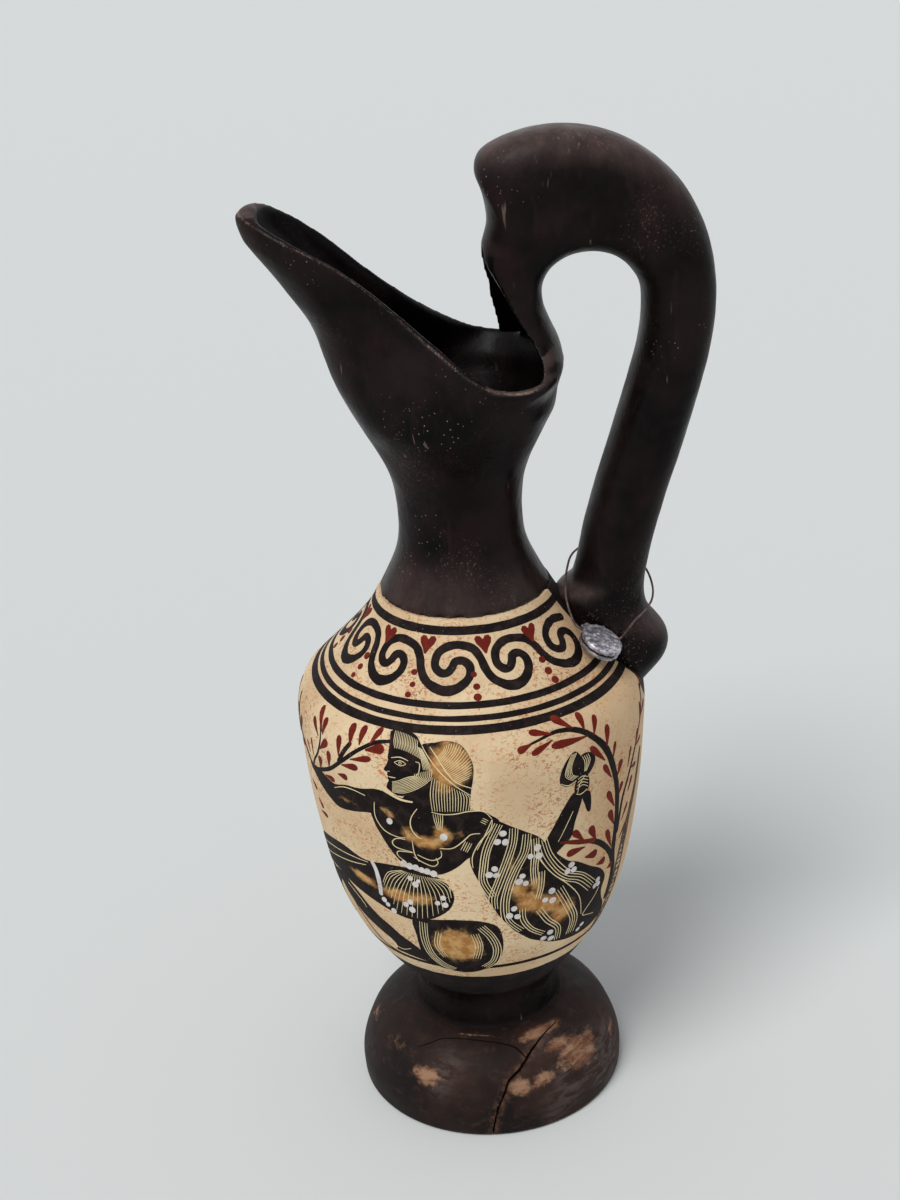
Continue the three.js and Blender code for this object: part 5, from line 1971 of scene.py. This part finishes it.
            fold([(-15 + 11.4 * t, 164.8 - 6.4 * t), (-16.2 + 13.6 * t, 158 - 1.6 * t),
                  (-16 + 12.6 * t, 151 + 0.4 * t)], 1, 1, 0.28)
        fold([(-16.4, 150.6), (-12.4, 149.9), (-8, 150.2), (-3.4, 151.2), (1.8, 150.9), (4.6, 147.6)], 1, 1, 0.4)
        for k in range(5):
            fold([(-15.9 + 0.85 * k, 149.8), (-15.5 + 0.7 * k, 146.6), (-14.6 + 0.35 * k, 143.2)], 1, 1, 0.26)
        fold([(-34, 156.7), (-30, 155.2), (-26.7, 154.2), (-23.2, 154)], 1, 1, 1.0)

    def chest_lines(self) -> None:
        """Scratches the outlines of arm, chest and belly."""
        fold = self.fold
        fold([(-59, 149.4), (-53.3, 152), (-47.6, 152.7), (-42.4, 152.2)], 1, 1, 0.4)
        fold([(-38.6, 150.6), (-39, 144.6), (-36, 139.7), (-30.9, 138), (-27.3, 138.2)], 1, 1, 0.42)
        fold([(-21.6, 151.4), (-24.2, 147.3), (-24.7, 143.3), (-23.1, 140), (-21, 138.8)], 1, 1, 0.42)
        fold([(-27.4, 137.5), (-31, 137.2), (-33, 135.2), (-31.6, 133.2), (-25.3, 132.4)], 1, 1, 0.42)
        fold([(-14.6, 135.4), (-9.9, 135.7), (-5.8, 138.9), (-3, 141.5), (0.3, 141.8)], 1, 1, 0.42)
        fold([(4.6, 147.2), (2.4, 142), (-1.2, 134.8)], 1, 1, 0.36)
        fold([(-25, 132.2), (-30.9, 131.7), (-31.4, 129.5), (-28.6, 127.6)], 1, 1, 0.38)
        fold([(-24.8, 137.4), (-24.5, 131.8), (-23, 128.6)], 1, 1, 0.38)
        fold([(-23.4, 131.6), (-18.3, 129.8), (-14.5, 131.6), (-14.3, 134.4)], 1, 1, 0.38)
        fold([(-25, 130.4), (-21.5, 128.4), (-17.7, 127.2), (-15.8, 129), (-16.4, 131)], 1, 1, 0.38)
        fold([(-4, 138.2), (-5.8, 134.4)], 4, 0.8, 0.28)
        fold([(1, 147.4), (3, 146.2)], 3, 0.8, 0.26)

    def leg_lines(self) -> None:
        """Scratches the folds over thigh, shin and cushion."""
        fold = self.fold
        ends = [(-41, 114.6), (-40.4, 111.6), (-38.6, 108), (-37, 103), (-32.6, 101.6), (-27.8, 101.3),
                (-23.1, 102.4), (-18.2, 105.2), (-14.4, 109), (-12.2, 113.2), (-12.9, 117.2)]
        rim = smooth_path(ends, 2)
        for k, end in enumerate(rim):
            t = k / (len(rim) - 1)
            start = (-31 + 14.4 * t ** 1.2, 123 - 1.4 * t)
            middle = ((start[0] + end[0]) / 2 - 1.4 + 3.8 * t, (start[1] + end[1]) / 2 + 1.6 - 0.8 * t)
            fold([start, middle, (end[0], end[1])], 1, 1, 0.28)
        fold([(-86, 113.6), (-72, 118), (-57.9, 120.6), (-46.8, 121.8)], 1, 1, 0.36)
        fold([(-84, 110), (-69.7, 114.6), (-55.5, 118.2), (-48.4, 120)], 1, 1, 0.36)
        fold([(-66, 104), (-61, 101.6), (-57, 98.4), (-56.2, 96.6)], 1, 1, 0.36)
        fold([(-47, 80.6), (-42, 80), (-36.6, 82.2)], 1, 1, 0.3)
        fold([(-25.6, 99.6), (-26.6, 90), (-26, 82.4), (-22.4, 76.6), (-16.6, 73.4)], 4, 0.95, 0.34)
        fold([(-1.6, 99), (2.6, 93.6), (4.8, 86.6), (3.4, 79.6), (-1, 75.6)], 4, 0.95, 0.34)
        fold([(-19.6, 95.6), (-21.4, 88), (-19, 81.6)], 3, 0.95, 0.3)
        fold([(-4.4, 95.4), (-2.8, 88.6), (-4.6, 81.4)], 4, 0.9, 0.3)

    def white_dots(self) -> None:
        """Sets the white dots, the trefoils of the cloak and the belt."""
        white = self.layers[Paint.WHITE]
        trefoils = ((8.3, 140.9), (6.2, 137.6), (9.1, 137.1), (4.8, 125.9), (2.7, 123.5), (5.4, 123),
                    (21, 132.2), (18.3, 129), (21.6, 128.4), (15.2, 120.9), (13.9, 118.6), (16.5, 117.3),
                    (27.6, 110.6), (24.8, 107.2), (28.2, 106), (11.9, 106.4), (10, 103.3), (13.3, 102.3),
                    (35.9, 119.5), (37.2, 116.8), (34.2, 117.2), (28.9, 89.7), (26, 87.4), (29.9, 86))
        for k, (u, v) in enumerate(trefoils):
            white.disc(u, v, 1.35 + 0.15 * math.sin(3.3 * k), 0.92, 40 * k)
        for u, v, r in ((51.9, 105.4, 1.3), (50.4, 103.3, 1.2), (52.6, 103.2, 1.1), (47.8, 85.6, 1.1),
                        (46, 83.8, 1.1), (-33, 144.1, 1.35), (-12.8, 140.4, 1.55), (-27.8, 120.2, 1.2),
                        (-26, 117.7, 1.4), (-24.6, 119.4, 0.9), (-31.9, 106.9, 1.3), (-29.6, 108.7, 1.3),
                        (-29.4, 105, 1.5), (-15.5, 112.9, 1.2), (-18, 110.2, 1.1), (-15, 109.6, 1.3),
                        (-42.4, 106, 1.3), (-41, 104.2, 1.1), (-38.6, 101.9, 1.3), (-29.4, 126.6, 1.4),
                        (-27.2, 125.8, 1.5), (-24.8, 125.6, 1.4), (-22.6, 124.9, 1.3), (-20.4, 124.6, 1.4),
                        (-18, 123.8, 1.5)):
            white.disc(u, v, r, 0.9, 50 * r)
        white.stroke([(-44.4, 122.6), (-43.2, 119.3), (-42.9, 113.6), (-43.4, 108.6)], 2.0, end=1.8, start=1.6)

    def far_side(self) -> None:
        """Draws a plant scroll on the side away from the photograph."""
        for middle in (-245.0, -205.0, -165.0, -125.0):
            lean = 3 if middle < -200 else -3
            stem = [(middle - lean, 80), (middle + lean, 96), (middle - lean, 114), (middle + lean, 132),
                    (middle - lean, 150), (middle, 170)]
            self.branch(stem, 2.2, 0.7)
            pairs = []
            for k in range(12):
                v = 88 + 6.6 * k
                side = -1 if k % 2 else 1
                u = middle - lean * math.cos((v - 80) / 34 * 2 * math.pi)
                pairs.append(((u, v), (u + side * 7.5, v + 5)))
                if k % 3 == 0 and k < 10:
                    twig = [(u, v), (u + side * 8, v + 6), (u + side * 13, v + 13)]
                    self.branch(twig, 1.1)
                    for x, y in ((u + side * 6, v + 4.6), (u + side * 10, v + 8.6), (u + side * 13, v + 13)):
                        pairs.append(((x, y), (x + side * 1.8, y + 5.2)))
                        pairs.append(((x, y), (x + side * 5, y - 0.8)))
            self.leaves(pairs)

    def glaze(self, u: float, v: float) -> float:
        """Tells how strongly the warm glaze covers the black at a place."""
        covered = 0.0
        for cu, cv, long, tall, turn, strength in GLAZES:
            along, rise = self.wall.scales(cv)
            x, y = (u - cu) * along, (v - cv) * rise
            cos, sin = math.cos(math.radians(turn)), math.sin(math.radians(turn))
            reach = ((x * cos + y * sin) / long) ** 2 + ((y * cos - x * sin) / tall) ** 2
            covered = max(covered, strength * math.exp(-0.8 * reach))
        return min(covered, 1.0)

    def paints(self) -> list[tuple[bpy.types.Object, bpy.types.Material]]:
        """Builds one coat for each paint.

        Returns:
            Each coat with its material.
        """
        recipes = {
            Paint.WASH: Pigment("thin_wash", 0.06, (66, 54, 47), (132, 112, 92)),
            Paint.BLACK: Pigment("black_paint", 0.08, (24, 18, 18), (48, 38, 36), chips=0.7, glazed=True),
            Paint.RED: Pigment("red_paint", 0.1, (104, 32, 24), (126, 46, 34)),
            Paint.INCISED: Pigment("scratched_lines", 0.14, (236, 218, 174), (220, 198, 150)),
            Paint.WHITE: Pigment("white_paint", 0.2, (226, 220, 216), (198, 190, 186)),
        }
        made = []
        for paint, recipe in recipes.items():
            soft = self.glaze if recipe.glazed else None
            piece = self.layers[paint].build(paint.value, recipe.lift, soft)
            made.append((piece, recipe.material()))
        return made


# Light, table and camera


@dataclass
class Studio:
    """Pale table, soft light and the photograph's point of view."""

    camera_place: Point3 = (-0.05525, -0.6262, 0.4876)
    forward: Point3 = (0.0554, 0.9088, -0.4135)
    up: Point3 = (0.0882, 0.408, 0.9087)
    lens: float = 38.0

    def camera(self) -> bpy.types.Object:
        """Sets the camera where the photographer stood."""
        data = bpy.data.cameras.new("camera")
        data.sensor_fit = "VERTICAL"
        data.sensor_height = 24.0
        data.lens = self.lens
        data.clip_start = 0.01
        piece = bpy.data.objects.new("camera", data)
        bpy.context.scene.collection.objects.link(piece)
        back = -Vector(self.forward).normalized()
        right = Vector(self.up).cross(back).normalized()
        above = back.cross(right)
        matrix = piece.matrix_world.copy()
        for i in range(3):
            matrix[i][0], matrix[i][1], matrix[i][2] = right[i], above[i], back[i]
            matrix[i][3] = self.camera_place[i]
        piece.matrix_world = matrix
        bpy.context.scene.camera = piece
        return piece

    def floor(self) -> bpy.types.Object:
        """Lays a wide pale table top that fills the picture behind the jug."""
        deselect()
        bpy.ops.mesh.primitive_plane_add(size=40, location=(0, 0, 0))
        piece = bpy.context.object
        piece.name = "table"
        bpy.ops.object.transform_apply(location=True, rotation=True, scale=True)
        graph = Graph("table_top")
        graph.colour(srgb(226, 230, 230))
        graph.roughness(0.9)
        piece.data.materials.append(graph.material)
        return piece

    def light(self) -> None:
        """Lights the jug softly from above on the left, and fills the shadows from the room."""
        data = bpy.data.lights.new("window", "SUN")
        data.energy = 1.75
        data.angle = math.radians(28)
        data.color = (1.0, 0.985, 0.96)
        piece = bpy.data.objects.new("window", data)
        bpy.context.scene.collection.objects.link(piece)
        piece.rotation_euler = Vector((0.42, 0.55, -1.0)).to_track_quat("-Z", "Y").to_euler()
        world = bpy.data.worlds.new("room")
        bpy.context.scene.world = world
        world.use_nodes = True
        tree = world.node_tree
        shader = next(n for n in tree.nodes if n.type == "BACKGROUND")
        tint = tree.nodes.new("ShaderNodeMix")
        tint.data_type = "RGBA"
        tint.inputs[6].default_value = (0.93, 0.95, 0.98, 1)
        tint.inputs[7].default_value = (0.686, 0.714, 0.714, 1)
        tree.links.new(tint.outputs[2], shader.inputs["Color"])
        rays = tree.nodes.new("ShaderNodeLightPath")
        level = tree.nodes.new("ShaderNodeMapRange")
        level.inputs["To Min"].default_value = 0.42
        level.inputs["To Max"].default_value = 1.0
        seen = rays.outputs["Is Camera Ray"]
        tree.links.new(seen, tint.inputs[0])
        for kind in ("Is Glossy Ray", "Is Transmission Ray"):
            either = tree.nodes.new("ShaderNodeMath")
            either.operation = "MAXIMUM"
            tree.links.new(seen, either.inputs[0])
            tree.links.new(rays.outputs[kind], either.inputs[1])
            seen = either.outputs[0]
        tree.links.new(seen, level.inputs["Value"])
        tree.links.new(level.outputs["Result"], shader.inputs["Strength"])
        bpy.context.scene.view_settings.view_transform = "Standard"


def main() -> None:
    """Builds the scene in order and reports each piece."""
    logging.basicConfig(level=logging.INFO, format="%(name)s: %(message)s", force=True)
    studio = Studio()
    studio.camera()
    black = BlackSlip().material()
    cream = CreamSlip().material()
    foot_slip = FootSlip().material()
    foot = WornFoot().build()
    dress(foot, foot_slip)
    place_piece(foot, Rider.VESSEL, ["foot"])
    for section, material, node in ((Stem(), black, "stem"), (Body(), cream, "body")):
        piece = section.build()
        dress(piece, material)
        place_piece(piece, Rider.VESSEL, [node])
    for piece in UpperClay().build():
        dress(piece, black)
        place_piece(piece, Rider.VESSEL, ["neck", "mouth", "handle", "handle_root"])
    painter = Painter(Body())
    painter.decorate()
    for paint, material in painter.paints():
        dress(paint, material)
        place_piece(paint, Rider.VESSEL)
    lead = DullMetal("lead_metal", (116, 113, 118), (196, 192, 200), 0.75, 0.4).material()
    for node, other, has_lug in (("seal_front", "seal_back", True), ("seal_back", "seal_front", False)):
        piece = Seal().half(node, other, has_lug)
        dress(piece, lead)
        place_piece(piece, Rider.TAG, [node])
    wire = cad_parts["tag_wire"]
    wire.data.materials.clear()
    wire.data.materials.append(DullMetal("copper_metal", (72, 54, 50), (106, 86, 80), 0.3, 0.6).material())
    studio.floor()
    studio.light()


if __name__ == "__main__":
    main()
